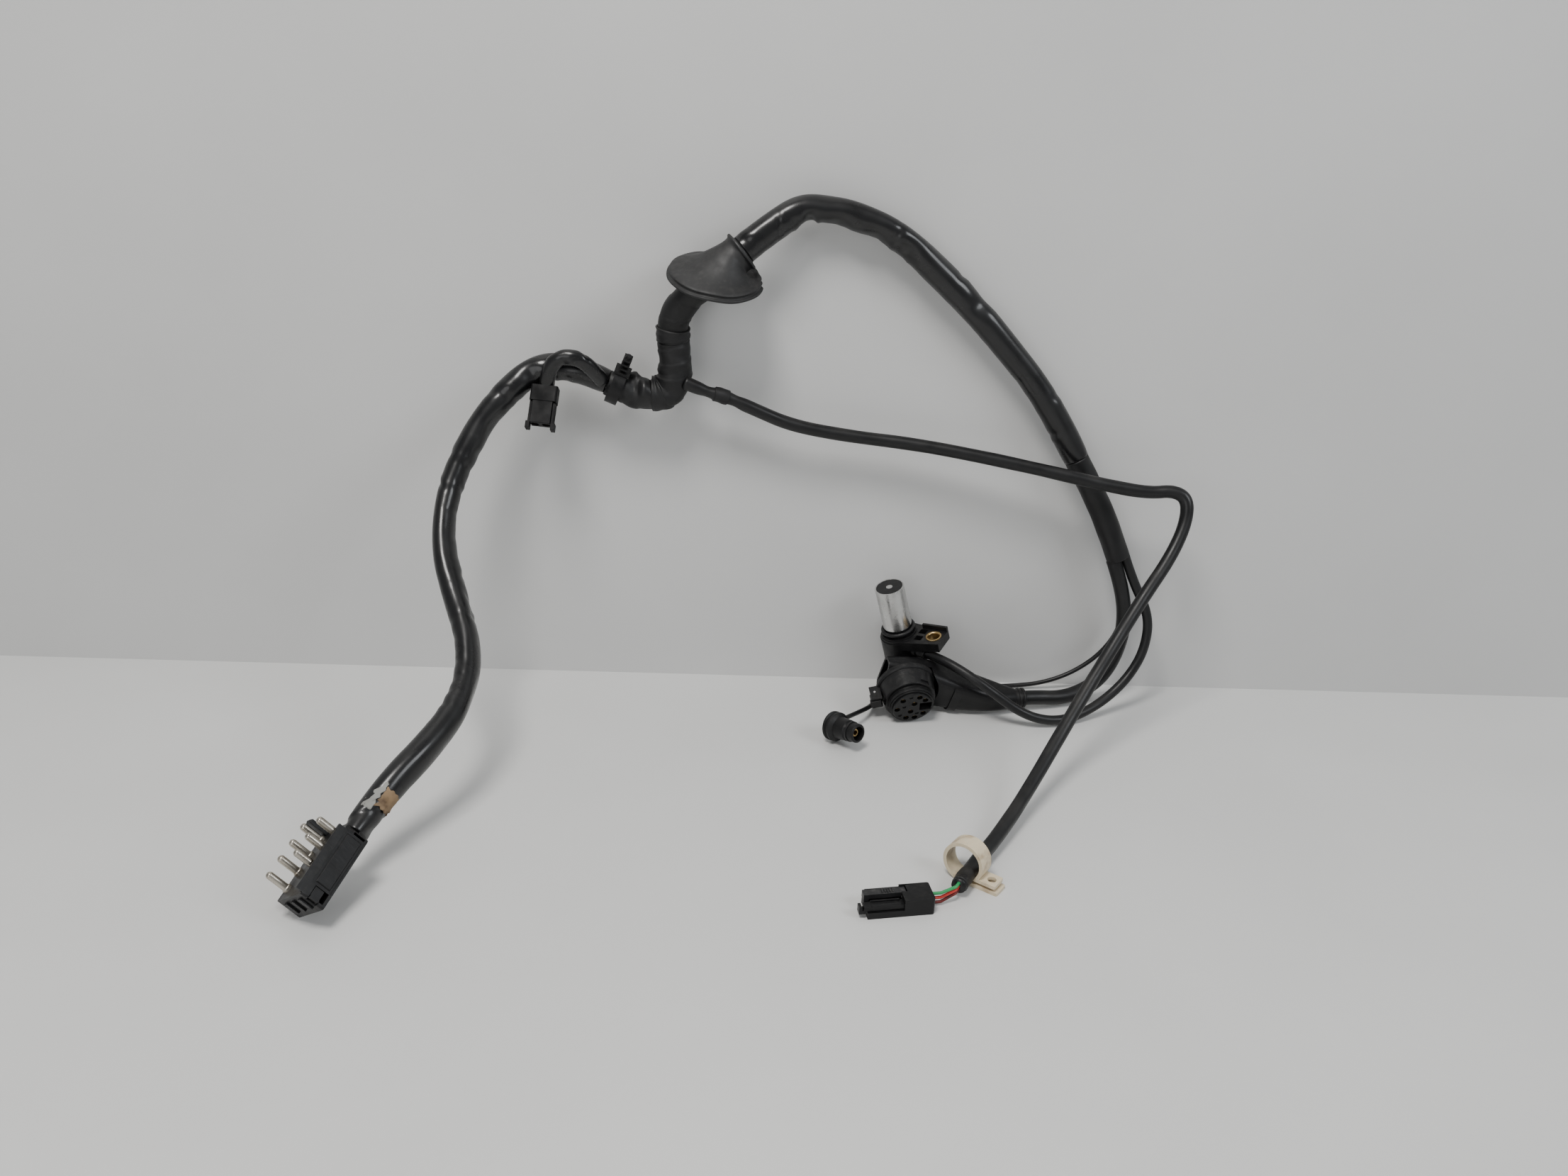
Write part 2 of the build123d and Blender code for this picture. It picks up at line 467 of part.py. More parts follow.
    ringed(ROUND, {"round_insert": insert, "round_contacts": contacts, "round_shell": shell,
                   "round_face_seal": seal, "coupling_ring": coupling, "ring_lever": lever,
                   "ring_lever_pin": lever_pin, "backshell_base": base, "backshell_cover": cover,
                   "backshell_strap": strap})
    bore = ROUND_CABLE_RADIUS + 0.1
    collar = turned((bore, 0), (COLLAR_RADIUS - 0.6, 0), (COLLAR_RADIUS - 0.6, 2.0),
                    (COLLAR_RADIUS, 2.3), (COLLAR_RADIUS, 3.6), (COLLAR_RADIUS - 0.7, 3.9),
                    (COLLAR_RADIUS - 0.7, 4.6), (COLLAR_RADIUS, 4.9), (COLLAR_RADIUS, 6.2),
                    (COLLAR_RADIUS - 1.0, 7.0), (bore, 7.0))
    NODES["cable_collar"] = COLLAR * collar
    report("coupling_ring axis", ROUND * Pos(0, 0, -13), (0, 0, 1))
    lever_spot = ROUND * Rot(0, 0, 200) * Pos(hinge_x + 0.6, 0, -14.5)
    report("ring_lever hinge", lever_spot, (0, 1, 0))
    report("round face", ROUND, (0, 0, 1))


# ---- speed sensor -------------------------------------------------------------------------------------------
def speed_sensor():
    """Inductive sensor: steel barrel up z from the flange, bolt eye out along x, cable out of its foot."""
    barrel = rod(BARREL_RADIUS, 0, BARREL_LENGTH) - rod(BARREL_RADIUS - BARREL_WALL, BARREL_WALL, BARREL_LENGTH + 1)
    barrel -= rod(3.0, -1, 2)
    face_low = BARREL_LENGTH - 2.2
    face = ring(BARREL_RADIUS - BARREL_WALL, POLE_RADIUS, face_low, BARREL_LENGTH - 0.3)
    pole = rod(POLE_RADIUS, 4.0, BARREL_LENGTH - 0.1)
    magnet = rod(3.6, BARREL_WALL + 0.2, 4.0)
    bobbin = ring(BOBBIN_RADIUS, POLE_RADIUS, 4.0, face_low - 0.6)
    bobbin -= ring(BARREL_RADIUS, COIL_INNER, 5.4, face_low - 2.0)
    coil = ring(COIL_RADIUS, COIL_INNER, 5.4, face_low - 2.0)
    neck_z = -5.0
    ring_seat = ring(BARREL_RADIUS - 0.6, 4.0, neck_z, 0)
    oring = Pos(0, 0, -2.4) * Torus(BARREL_RADIUS - 0.6 + 1.2, 1.2)
    body = ring_seat + rod(SENSOR_BODY_RADIUS - 1.2, -7.5, neck_z)
    body += rod(SENSOR_BODY_RADIUS, -SENSOR_BODY_DEPTH, -7.5)
    body = fillet(body.edges().filter_by(GeomType.CIRCLE).sort_by(Axis.Z)[:1], 1.5)
    flange_top = -6.0
    flange_low = flange_top - FLANGE_THICK
    plate = make_hull(Circle(SENSOR_BODY_RADIUS - 0.6).edges() + (Pos(BOLT_OFFSET, 0) * Rectangle(12.5, 14)).edges())
    flange = extrude(Pos(0, 0, flange_low) * plate, FLANGE_THICK)
    flange -= block(12.8, 17.6, -5.6, -1.2, flange_top - 3.5, flange_top + 1)
    flange -= block(12.8, 17.6, 1.2, 5.6, flange_top - 3.5, flange_top + 1)
    body += flange
    body += block(13.4, 30.2, 6.6, 8.2, flange_low, flange_top + 3.0)
    body -= rod(BUSH_OUTER, flange_low - 1, flange_top + 5, BOLT_OFFSET)
    bush = ring(BUSH_OUTER, BUSH_BORE, flange_low - 0.4, flange_top + 0.5, BOLT_OFFSET)
    bush = chamfer(bush.edges().filter_by(GeomType.CIRCLE).sort_by(Axis.Z)[-2:].sort_by(SortBy.RADIUS)[:1], 0.5)
    outlet_z = -15.5
    outlet_frame = Rot(0, 0, -16) * Pos(0, 0, outlet_z) * Rot(0, 90, 0)
    boss = outlet_frame * turned((0, 6.5), (4.6, 6.5), (4.6, 14.5), (3.7, 15.5), (3.7, 21.5), (0, 21.5))
    boss -= rod(SENSOR_BODY_RADIUS, -SENSOR_BODY_DEPTH - 1, 0)
    boss -= outlet_frame * rod(SENSOR_CABLE_RADIUS + 0.1, 18.4, 30)
    ringed(SENSOR, {"sensor_barrel": barrel, "sensor_face": face, "sensor_pole": pole, "sensor_magnet": magnet,
                    "sensor_bobbin": bobbin, "sensor_coil": coil, "sensor_oring": oring, "sensor_body": body,
                    "sensor_bush": bush, "sensor_outlet": boss})
    report("sensor nose", SENSOR * Pos(0, 0, BARREL_LENGTH / 2), (0, 0, 1))
    report("sensor bolt", SENSOR * Pos(BOLT_OFFSET, 0, (flange_low + flange_top) / 2), (0, 0, 1))
    report("sensor outlet", SENSOR * outlet_frame * Pos(0, 0, 18.5), (0, 0, 1))
    print("sensor outlet on the bench", (SENSOR * outlet_frame * Pos(0, 0, 18.55)).position)


# ---- single-pole connector ------------------------------------------------------------------------------------
def single_connector():
    """Rubber-booted single contact, z towards its mouth."""
    boot = turned((0, 0), (BOOT_RADIUS - 1, 0), (BOOT_RADIUS, 0.8), (BOOT_RADIUS, 1.9), (BOOT_RADIUS - 1.1, 2.5),
                  (BOOT_RADIUS - 1.1, 3.4), (BOOT_RADIUS, 4.0), (BOOT_RADIUS, 5.2), (SINGLE_BODY_RADIUS, 7.0),
                  (0, 7.0))
    front = SINGLE_LENGTH
    housing = turned((0, 7.0), (SINGLE_BODY_RADIUS, 7.0), (SINGLE_BODY_RADIUS - 0.3, 14.5),
                     (SINGLE_MOUTH_RADIUS, 15.3), (SINGLE_MOUTH_RADIUS, front - 0.5),
                     (SINGLE_MOUTH_RADIUS - 0.5, front), (0, front))
    housing -= rod(4.2, 13.0, front + 1)
    housing -= rod(2.2, 8.0, 14.0)
    contact = ring(2.2, 1.5, 8.0, front - 2.5)
    contact += rod(2.2, 8.0, 9.0)
    seal = ring(SINGLE_MOUTH_RADIUS + 0.5, SINGLE_MOUTH_RADIUS, 16.0, 17.2)
    ringed(SINGLE, {"single_boot": boot, "single_housing": housing, "single_contact": contact,
                    "single_seal": seal})
    report("single mouth", SINGLE * Pos(0, 0, 16.5), (0, 0, 1))


# ---- retaining clip -------------------------------------------------------------------------------------------
def retaining_clip():
    """Nylon strap clip: a ring about z with two tabs leading off along +x at its foot."""
    outer = CLIP_INNER + CLIP_BAND
    half = CLIP_WIDTH / 2
    slit = 1.6
    foot = -outer
    body = ring(outer, CLIP_INNER, -half, half)
    tab_end = CLIP_TAB
    lower = block(0, tab_end, foot, foot + CLIP_BAND, -half, half)
    upper = block(math.sqrt(CLIP_INNER ** 2 - (outer - CLIP_BAND - slit) ** 2) + 1.0, tab_end - 1.5,
                  foot + CLIP_BAND + slit, foot + 2 * CLIP_BAND + slit, -half, half)
    body -= block(0.0, outer + 1, foot + CLIP_BAND, foot + CLIP_BAND + slit, -half - 1, half + 1)
    body += lower - rod(CLIP_INNER, -half - 1, half + 1)
    body += upper
    body -= rod(CLIP_INNER, -half - 1, half + 1)
    bolt = Pos(tab_end - 5.5, 0, 0) * Rot(90, 0, 0)
    body -= bolt * Cylinder(CLIP_HOLE, 40)
    body = fillet(body.edges().filter_by(Axis.Y).sort_by(Axis.X)[-4:], 1.0)
    ringed(CLIP, {"retaining_clip": body})
    report("clip ring", CLIP, (0, 0, 1))
    report("clip hole", CLIP * Pos(tab_end - 5.5, foot + CLIP_BAND + slit / 2, 0), (0, 1, 0))


# ---- small plug -----------------------------------------------------------------------------------------------
def small_plug():
    """Three-way plug lying flat: x towards its mating end, y to the front, z up."""
    half = PLUG_WIDTH / 2
    deck = 3.5
    body = block(0, PLUG_REAR, -half, half, 0, PLUG_HEIGHT)
    body = fillet(body.edges().filter_by(Axis.Z).sort_by(Axis.X)[:2], 1.0)
    body += block(PLUG_REAR, PLUG_LENGTH, -half, half, 0, deck)
    body += block(PLUG_REAR, PLUG_LENGTH - 1, -half, -half + 0.9, deck, PLUG_HEIGHT - 1.2)
    body += block(PLUG_REAR, PLUG_LENGTH - 5, -0.3, 0.3, deck, PLUG_HEIGHT - 3.4)
    body -= block(PLUG_REAR - 3, PLUG_REAR + 1, half - 5.9, half - 0.7, deck + 0.2, deck + 3.1)
    ports = [(0.0, PLUG_HEIGHT / 2 + step) for step in (2.6, 0.0, -2.6)]
    terminals = []
    for y, z in ports:
        port = Pos(0, y, z) * Rot(0, 90, 0)
        body -= port * rod(1.15, -1, PLUG_REAR + 1)
        terminals.append(port * ring(1.15, 0.8, 0.8, PLUG_REAR - 1))
    body -= block(PLUG_REAR - 3, PLUG_REAR + 1, -half + 0.9, -0.9, PLUG_HEIGHT - 3.9, PLUG_HEIGHT + 1)

    latch_low = PLUG_HEIGHT - 3.2
    latch = block(PLUG_REAR - 2.6, PLUG_LENGTH + 0.5, -half + 1.2, -0.9 - MOVING_GAP, latch_low, PLUG_HEIGHT - 0.6)
    for step in range(5):
        x = PLUG_REAR + 3.5 + 1.3 * step
        latch += block(x, x + 0.6, -half + 1.6, -1.7, PLUG_HEIGHT - 0.6, PLUG_HEIGHT)
    latch += block(PLUG_LENGTH - 2.2, PLUG_LENGTH + 0.5, -half + 1.2, -0.9 - MOVING_GAP, latch_low - 1.0, latch_low)

    lock_y0, lock_y1 = half - 5.6, half - 1.0
    lock = block(PLUG_REAR - 2.6, PLUG_LENGTH + 1.0, lock_y0, lock_y1, deck + 0.4, deck + 2.8)
    for y in (lock_y0, lock_y1 - 1.0):
        lock += block(PLUG_REAR + 1.5, PLUG_LENGTH - 2, y, y + 1.0, deck + 2.8, deck + 3.6)
    lock += block(PLUG_LENGTH + 1.0, PLUG_LENGTH + 4.2, lock_y0 + 0.6, lock_y1, deck - 1.0, deck + 3.0)
    lock -= block(PLUG_LENGTH + 1.8, PLUG_LENGTH + 2.8, lock_y0, lock_y1 + 1, deck + 0.9, deck + 4)

    ringed(PLUG, {"plug_housing": body, "plug_terminals": Compound(children=terminals), "plug_latch": latch,
                  "plug_lock": lock})
    rear = [(PLUG * Pos(0.2, y, z)).position for y, z in ports]
    end = Vector(*BRANCH_ROUTE[-1])
    away = (end - Vector(*BRANCH_ROUTE[-2])).normalized()
    axis = Vector(*PLUG_AXIS)
    for (word, lift), port in zip((("green", 1.9), ("red", 0.0), ("striped", -1.9)), rear):
        start = end + Vector(0, 0, lift)
        route = [start, start + away * 3.5, port - axis * 5.0, port]
        path = FilletPolyline(*route, radius=2.2)
        section = Plane(origin=path @ 0, z_dir=path % 0) * Circle(WIRE_RADIUS)
        NODES[f"plug_wire_{word}"] = sweep(section, path=path)
    report("plug_latch hinge", PLUG * Pos(PLUG_REAR - 2.0, -half / 2, latch_low + 1.3), (0, 1, 0))
    report("plug_lock slide", PLUG * Pos(PLUG_LENGTH, half - 3, deck + 1), (1, 0, 0))
    report("plug face", PLUG * Pos(PLUG_LENGTH, 0, deck), (1, 0, 0))


# ---- where each end lies --------------------------------------------------------------------------------------
PLUG_AXIS = (-0.987, -0.16, 0.0)
HEADER = place((-205.6, -252.8, 14.5), (-0.67, -0.06, 0.74), (0.319, 0.876, 0.358))
TWO_WAY = place((-114.0, -31.4, 195.6), (-0.08, -0.55, -0.83), (1, 0, 0))
ROUND = place((104.5, -60.4, 12.8), (0.156, -0.924, -0.349), (0.972, 0.206, -0.111))
COLLAR = place((170.6, -36.57, 8.3), (0.985, 0.17, 0), (0, 0, 1))
SENSOR = place((96.96, -17.0, 48.1), (-0.264, -0.134, 0.955), (0.82, -0.55, 0.15))
SINGLE = place((55.0, -77.0, 8.9), (0.66, -0.73, 0.17), (0, 0, 1))
CLIP = place((115.8, -211.9, 11.0), (-0.6, -0.8, 0), (0.8, -0.6, 0))
PLUG = place((95.5, -235.5, 0.0), (0, 0, 1), PLUG_AXIS)

pin_header()
grommet()
hoses()
cable_clip()
two_way_plug()
round_connector()
speed_sensor()
single_connector()
retaining_clip()
small_plug()

# soft pieces take the shape of whatever they are pressed against
for soft, firm in [("heat_shrink", "arch_sleeve"), ("riser_sleeve", "junction_wrap"), ("arch_sleeve", "riser_sleeve"),
                   ("branch_cable", "junction_wrap"),
                   ("main_sleeve", "junction_wrap"), ("plug_branch_sleeve", "main_sleeve"),
                   ("plug_branch_sleeve", "junction_wrap"), ("plug_branch_sleeve", "two_way_cap"),
                   ("backshell_base", "cable_collar"), ("backshell_cover", "cable_collar"),
                   ("single_boot", "single_pole_wire"), ("sensor_outlet", "sensor_body"),
                   ("heat_shrink", "single_pole_wire"), ("plug_branch_sleeve", "two_way_housing"),
                   ("plug_branch_sleeve", "two_way_wires")]:
    cut = NODES[soft] - NODES[firm]
    NODES[soft] = cut.solids().sort_by(SortBy.VOLUME)[-1]

for name, (length, radius, share) in RADII.items():
    print(f"{name}: length {length:.1f}, smallest radius {radius:.1f}, volume over section times length {share:.4f}")
os.makedirs("parts", exist_ok=True)
shift = Pos(-ORIGIN[0], -ORIGIN[1], -ORIGIN[2])
for name, shape in NODES.items():
    export_step(shift * shape, f"parts/{name}.step")
print(len(NODES), "nodes")
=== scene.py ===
# %% [markdown]
# # A vehicle wiring harness leaning on a wall
# The harness hangs from the groove of its grommet. Sleeves, wraps and cables are surfaces swept along smooth
# splines; moulded connectors keep their exact solids and get rounded edges and worn finishes.

# %%
import math

import bpy
import numpy as np
from mathutils import Matrix, Vector


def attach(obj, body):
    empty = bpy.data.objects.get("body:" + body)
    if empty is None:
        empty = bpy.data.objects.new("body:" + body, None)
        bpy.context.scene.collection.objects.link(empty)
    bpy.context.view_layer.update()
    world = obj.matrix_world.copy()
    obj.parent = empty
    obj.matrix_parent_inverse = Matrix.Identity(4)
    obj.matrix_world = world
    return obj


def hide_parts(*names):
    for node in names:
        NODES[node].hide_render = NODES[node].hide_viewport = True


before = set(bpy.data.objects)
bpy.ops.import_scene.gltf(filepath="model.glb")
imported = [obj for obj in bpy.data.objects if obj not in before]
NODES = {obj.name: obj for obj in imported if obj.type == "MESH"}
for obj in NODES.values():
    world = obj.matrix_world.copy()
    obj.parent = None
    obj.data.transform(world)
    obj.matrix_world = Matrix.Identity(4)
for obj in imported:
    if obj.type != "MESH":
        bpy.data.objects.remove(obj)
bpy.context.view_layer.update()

# %% [markdown]
# ## Places and routes
# Points are given on the bench in millimetres, x to the right, y back to the wall and z up from the floor.
# `row` carries them to the part's frame in metres, whose origin is the middle of the grommet's lip.

# %%
ORIGIN = np.array([-20.0, -27.0, 258.0])
MAIN_ROUTE = [(-182.36, -224.06, 25.23), (-177.0, -209.34, 31.25), (-167.5, -195, 40.5), (-157, -179, 47.5),
              (-148, -160, 55), (-143.5, -140, 64), (-146, -119, 79), (-156, -99, 94.5), (-166.5, -80, 115),
              (-168, -61, 137), (-157.5, -44, 163), (-140, -31, 189), (-120, -24, 205), (-100, -21, 205.5),
              (-80.5, -20.2, 197)]
WRAP_ROUTE = [(-80.5, -20.2, 197), (-62.6, -19.8, 189.7), (-44, -19, 192), (-41.5, -19.5, 210),
              (-43, -20.3, 222)]
RISER_ROUTE = [(-43, -20.3, 222), (-44.25, -20.97, 232), (-38.5, -24, 243.5), (-28.5, -26, 254),
               (-17, -25, 264), (-5, -22.6, 274)]
ARCH_ROUTE = [(-5, -22.6, 274), (8.5, -19.9, 285.2), (29, -13.5, 298), (54, -12, 293.5), (84, -12, 282),
              (113, -12, 257), (144, -12, 227), (174, -12, 194), (196, -12.5, 158)]
SHRINK_ROUTE = [(196, -12.5, 158), (209.7, -12.8, 135.6), (220.5, -14, 116), (229, -16, 96)]
ROUND_CABLE_ROUTE = [(171.6, -36.4, 8.3), (186, -33.9, 8.3), (200, -29.5, 5.6), (214, -25, 7.5),
                     (227, -21.5, 15), (235.5, -19, 30), (239, -18, 52), (234.13, -17.94, 76.55),
                     (226.33, -16.11, 94.87)]
SENSOR_CABLE_ROUTE = [(113.11, -28.955, 34.66), (122.9, -39.7, 35.76), (139, -51.8, 31), (154.5, -57, 21.5),
                      (169, -58.5, 11.5), (183, -58, 5.5), (198, -54.5, 3.4), (213, -47.5, 5.5),
                      (228, -40, 12), (242, -33, 24), (251, -27, 40), (252, -22.5, 61),
                      (240.2, -17.47, 81.25), (233.19, -15.82, 97.74)]
THIN_WIRE_ROUTE = [(230.1, -11.38, 96.01), (237.9, -13.21, 77.7), (240, -8.5, 48), (231, -6.5, 27),
                   (214, -7, 12.5), (194, -8, 4.5), (173, -8.5, 2.2), (151, -9.5, 1.6), (130, -9, 1.7),
                   (110, -11, 1.6),
                   (93, -20, 1.8), (84, -34, 3), (81, -47, 6), (74, -60, 9.5), (61.5, -74.4, 11.6)]
BRANCH_ROUTE = [(-36.5, -24, 199.2), (-25, -24.5, 194.5), (-13, -23, 191.5), (4, -22, 184), (26, -20, 174.5),
                (60, -17.5, 168.5), (98, -19, 165.5), (136, -22.5, 160.5), (176, -28, 154.5), (212, -32, 148),
                (236, -34, 145), (250, -35.5, 147.5), (258, -38.5, 143), (257, -43.5, 129), (248, -53, 112),
                (232, -66, 93), (213, -84, 69.5), (194, -104, 47.5), (175, -127, 28), (155, -156, 13.5),
                (136, -186, 7.5), (118.1, -213, 6.6), (109.5, -228.5, 6.6)]
PLUG_BRANCH_ROUTE = [(-83, -26, 199), (-88.5, -32.5, 208.5), (-97, -35, 214.5), (-107, -34.5, 213.5),
                     (-112, -33, 205), (-114, -31.2, 194.5)]
MAIN_RADIUS, WRAP_RADIUS, RISER_RADIUS, ARCH_RADIUS = 7.25, 9.5, 8.6, 7.8
SHRINK_RADIUS, BRANCH_RADIUS, ROUND_RADIUS = 7.2, 3.75, 4.5
SENSOR_RADIUS, WIRE_RADIUS, PLUG_BRANCH_RADIUS = 2.9, 1.4, 4.0


def row(points):
    """Bench millimetres to the part's frame in metres: (p - origin) / 1000."""
    return (np.asarray(points, float) - ORIGIN) / 1000.0


# %% [markdown]
# ## Surfaces from formulas
# A swept surface is centre(s) + r(s, a) (cos a · side(s) + sin a · rise(s)), with the two directions
# carried along the line without twisting.

# %%
def unit(v):
    v = np.asarray(v, float)
    return v / np.linalg.norm(v, axis=-1, keepdims=True)


def grid_mesh(name, grid, closed=True, caps=True, lay=None):
    """Mesh of a grid of points (rows, columns, 3). Closed joins the last column to the first, caps fill the
    two end rows with fans, and lay (rows, columns, 2) becomes the surface's own coordinates in metres."""
    rows, columns = grid.shape[:2]
    index = np.arange(rows * columns).reshape(rows, columns)
    right = np.roll(index, -1, axis=1) if closed else index[:, 1:]
    left = index if closed else index[:, :-1]
    quads = np.stack([left[:-1], right[:-1], right[1:], left[1:]], axis=-1).reshape(-1, 4)
    points = grid.reshape(-1, 3)
    faces = quads.tolist()
    if caps and closed:
        centres = np.array([grid[0].mean(0), grid[-1].mean(0)])
        points = np.vstack([points, centres])
        first, last = rows * columns, rows * columns + 1
        fans = np.stack([np.full(columns, first), np.roll(index[0], -1), index[0]], axis=-1)
        faces += fans.tolist()
        fans = np.stack([np.full(columns, last), index[-1], np.roll(index[-1], -1)], axis=-1)
        faces += fans.tolist()
    mesh = bpy.data.meshes.new(name)
    mesh.from_pydata(points.tolist(), [], faces)
    mesh.update()
    if lay is None:
        shares = np.linspace(0, 1, rows), np.linspace(0, 1, columns)
        lay = np.stack(np.meshgrid(*shares, indexing="ij"), -1)
    flat = lay.reshape(-1, 2)
    if caps and closed:
        flat = np.vstack([flat, lay[0].mean(0), lay[-1].mean(0)])
    layer = mesh.attributes.new("lay", "FLOAT2", "POINT")
    layer.data.foreach_set("vector", flat.astype(np.float32).ravel())
    mesh.polygons.foreach_set("use_smooth", np.ones(len(mesh.polygons), bool))
    made = bpy.data.objects.new(name, mesh)
    bpy.context.scene.collection.objects.link(made)
    return made


def dress(piece, look):
    """Gives a piece its finish."""
    piece.data.materials.append(look)


def spline_points(name, route, gap):
    """Points about gap metres apart on the smooth curve that the route's points control."""
    curve = bpy.data.curves.new(name + "_route", "CURVE")
    curve.dimensions = "3D"
    spline = curve.splines.new("NURBS")
    spline.points.add(len(route) - 1)
    controls = np.c_[row(route), np.ones(len(route))]
    spline.points.foreach_set("co", controls.astype(np.float32).ravel())
    spline.order_u = 3
    spline.use_endpoint_u = True
    spline.resolution_u = 24
    holder = bpy.data.objects.new(name + "_route", curve)
    line = bpy.data.meshes.new_from_object(holder)
    found = np.empty(len(line.vertices) * 3)
    line.vertices.foreach_get("co", found)
    found = found.reshape(-1, 3)
    bpy.data.objects.remove(holder)
    bpy.data.meshes.remove(line)
    far = np.r_[0, np.cumsum(np.linalg.norm(np.diff(found, axis=0), axis=1))]
    count = max(int(far[-1] / gap), 12)
    places = np.linspace(0, far[-1], count)
    return np.stack([np.interp(places, far, found[:, k]) for k in range(3)], axis=1), places


def carried_frames(points):
    """Tangent, side and rise at each point; each side is the one before, made square to the new tangent."""
    tangent = unit(np.gradient(points, axis=0))
    side = unit(np.cross(tangent[0], (0.0, 0.0, 1.0)))
    sides = [side]
    for t in tangent[1:]:
        side = side - t * np.dot(side, t)
        side = side / np.linalg.norm(side)
        sides.append(side)
    sides = np.array(sides)
    return tangent, sides, np.cross(sides, tangent)


def smooth_noise(shape_s, shape_a, seed, cells_s, cells_a):
    """Periodic random field in -1..1: a sum of a few waves with random phase, s along and a around."""
    random = np.random.default_rng(seed)
    total = np.zeros((len(shape_s), len(shape_a)))
    for _ in range(14):
        along = random.uniform(0.3, 1.0) * cells_s
        around = random.integers(0, cells_a + 1)
        phase = random.uniform(0, 2 * math.pi)
        total += np.sin(2 * math.pi * along * shape_s[:, None] + around * shape_a[None, :] + phase)
    return total / 14 ** 0.5 / 1.6


class Tube:
    """A swept surface of a given radius in millimetres; folds and flats are added before it is built."""

    def __init__(self, name, route, radius, gap=0.0011, around=56):
        self.name, self.radius = name, radius / 1000.0
        self.points, self.along = spline_points(name, route, gap)
        self.tangent, self.side, self.rise = carried_frames(self.points)
        self.angle = np.linspace(0, 2 * math.pi, around, endpoint=False)
        self.ratio = np.ones((len(self.points), around))
        self.length = float(self.along[-1])
        self.shape = None

    def direction(self):
        """Outward direction of every surface point."""
        c, s = np.cos(self.angle)[None, :, None], np.sin(self.angle)[None, :, None]
        return c * self.side[:, None, :] + s * self.rise[:, None, :]

    def facing(self, way):
        """1 where the surface faces the given direction, 0 at right angles and beyond."""
        return np.clip(self.direction() @ unit(way), 0, 1)

    def window(self, place, width):
        """Bell curve along the tube: exp(-((s - place) / width)^2), both in millimetres."""
        return np.exp(-((self.along * 1000 - place) / width) ** 2)[:, None]

    def flatten(self, amount, way):
        """Oval section, narrower along way: r = 1 - amount * (2 f^2 - 1) with f = direction . way."""
        f = self.direction() @ unit(way)
        self.ratio -= amount * (2 * f * f - 1)

    def dent(self, place, width, depth, way, power=3):
        self.ratio -= depth * self.window(place, width) * self.facing(way) ** power

    def pinch(self, place, width, amount):
        self.ratio -= amount * self.window(place, width)

    def buckle(self, amount, wave, seed):
        """Cross folds on the inside of each bend, as deep as the bend is sharp."""
        bend = np.gradient(self.tangent, self.along, axis=0)
        sharp = np.linalg.norm(bend, axis=1)
        sharp = np.convolve(sharp, np.ones(9) / 9, mode="same")
        inward = np.clip(np.einsum("sak,sk->sa", self.direction(), unit(bend + 1e-9)), 0, 1)
        s = self.along * 1000
        wobble = 0.35 * smooth_noise(self.along / self.length, self.angle, seed, self.length * 90, 2)
        fold = np.sin(2 * math.pi * (s[:, None] / wave + wobble))
        deep = np.clip(sharp * self.radius * 2.2, 0, 1)[:, None]
        self.ratio += amount * deep * inward ** 1.5 * (fold - 0.4)

    def creases(self, amount, count, seed):
        """Slack folds running slantwise: narrow valleys at random places and angles."""
        random = np.random.default_rng(seed)
        s = self.along[:, None] * 1000
        a = self.angle[None, :]
        for _ in range(count):
            place = random.uniform(0, self.length * 1000)
            centre = random.uniform(0, 2 * math.pi)
            slant = random.uniform(-5.0, 5.0)
            width = random.uniform(1.2, 3.2)
            turn = (a - centre + math.pi) % (2 * math.pi) - math.pi
            reach = np.exp(-(turn / random.uniform(0.5, 1.1)) ** 2)
            valley = np.exp(-((s - place - slant * turn) / width) ** 2)
            ridge = 0.5 * np.exp(-((s - place - slant * turn - 2.2 * width) / width) ** 2)
            self.ratio += amount * random.uniform(0.5, 1.0) * reach * (ridge - valley)

    def unevenness(self, amount, seed, cells=60, around=3):
        share = self.along / self.length
        self.ratio += amount * smooth_noise(share, self.angle, seed, self.length * cells, around)

    def spiral(self, pitch, step):
        """Overlapping turns of tape: a small saw-tooth that climbs along the tube."""
        turn = (self.along[:, None] * 1000 / pitch + self.angle[None, :] / (2 * math.pi)) % 1.0
        self.ratio += step * (turn - 0.5) * np.clip((1 - turn) * 12, 0, 1)

    def step_in(self, place, depth, way, slant):
        """Thinner up to place, where an outer layer starts: further along where the surface faces way."""
        edge = place + slant * (self.direction() @ unit(way))
        self.ratio -= depth / (1 + np.exp((self.along[:, None] * 1000 - edge) / 0.35))

    def taper(self, first, last, reach=4.0):
        """Ends drawn in or flared over reach millimetres."""
        s = self.along * 1000
        far = self.length * 1000 - s
        self.ratio *= (1 + (first - 1) * np.exp(-s / reach) + (last - 1) * np.exp(-far / reach))[:, None]

    def build(self, finish, node=None):
        reach = self.radius * self.ratio
        grid = self.points[:, None, :] + self.direction() * reach[:, :, None]
        lay = np.stack(np.broadcast_arrays(self.along[:, None], self.angle[None, :] * self.radius), axis=-1)
        self.shape = grid_mesh(self.name + "_skin", grid, lay=lay)
        dress(self.shape, finish)
        if node:
            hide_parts(node)
        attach(self.shape, "harness")
        return self.shape

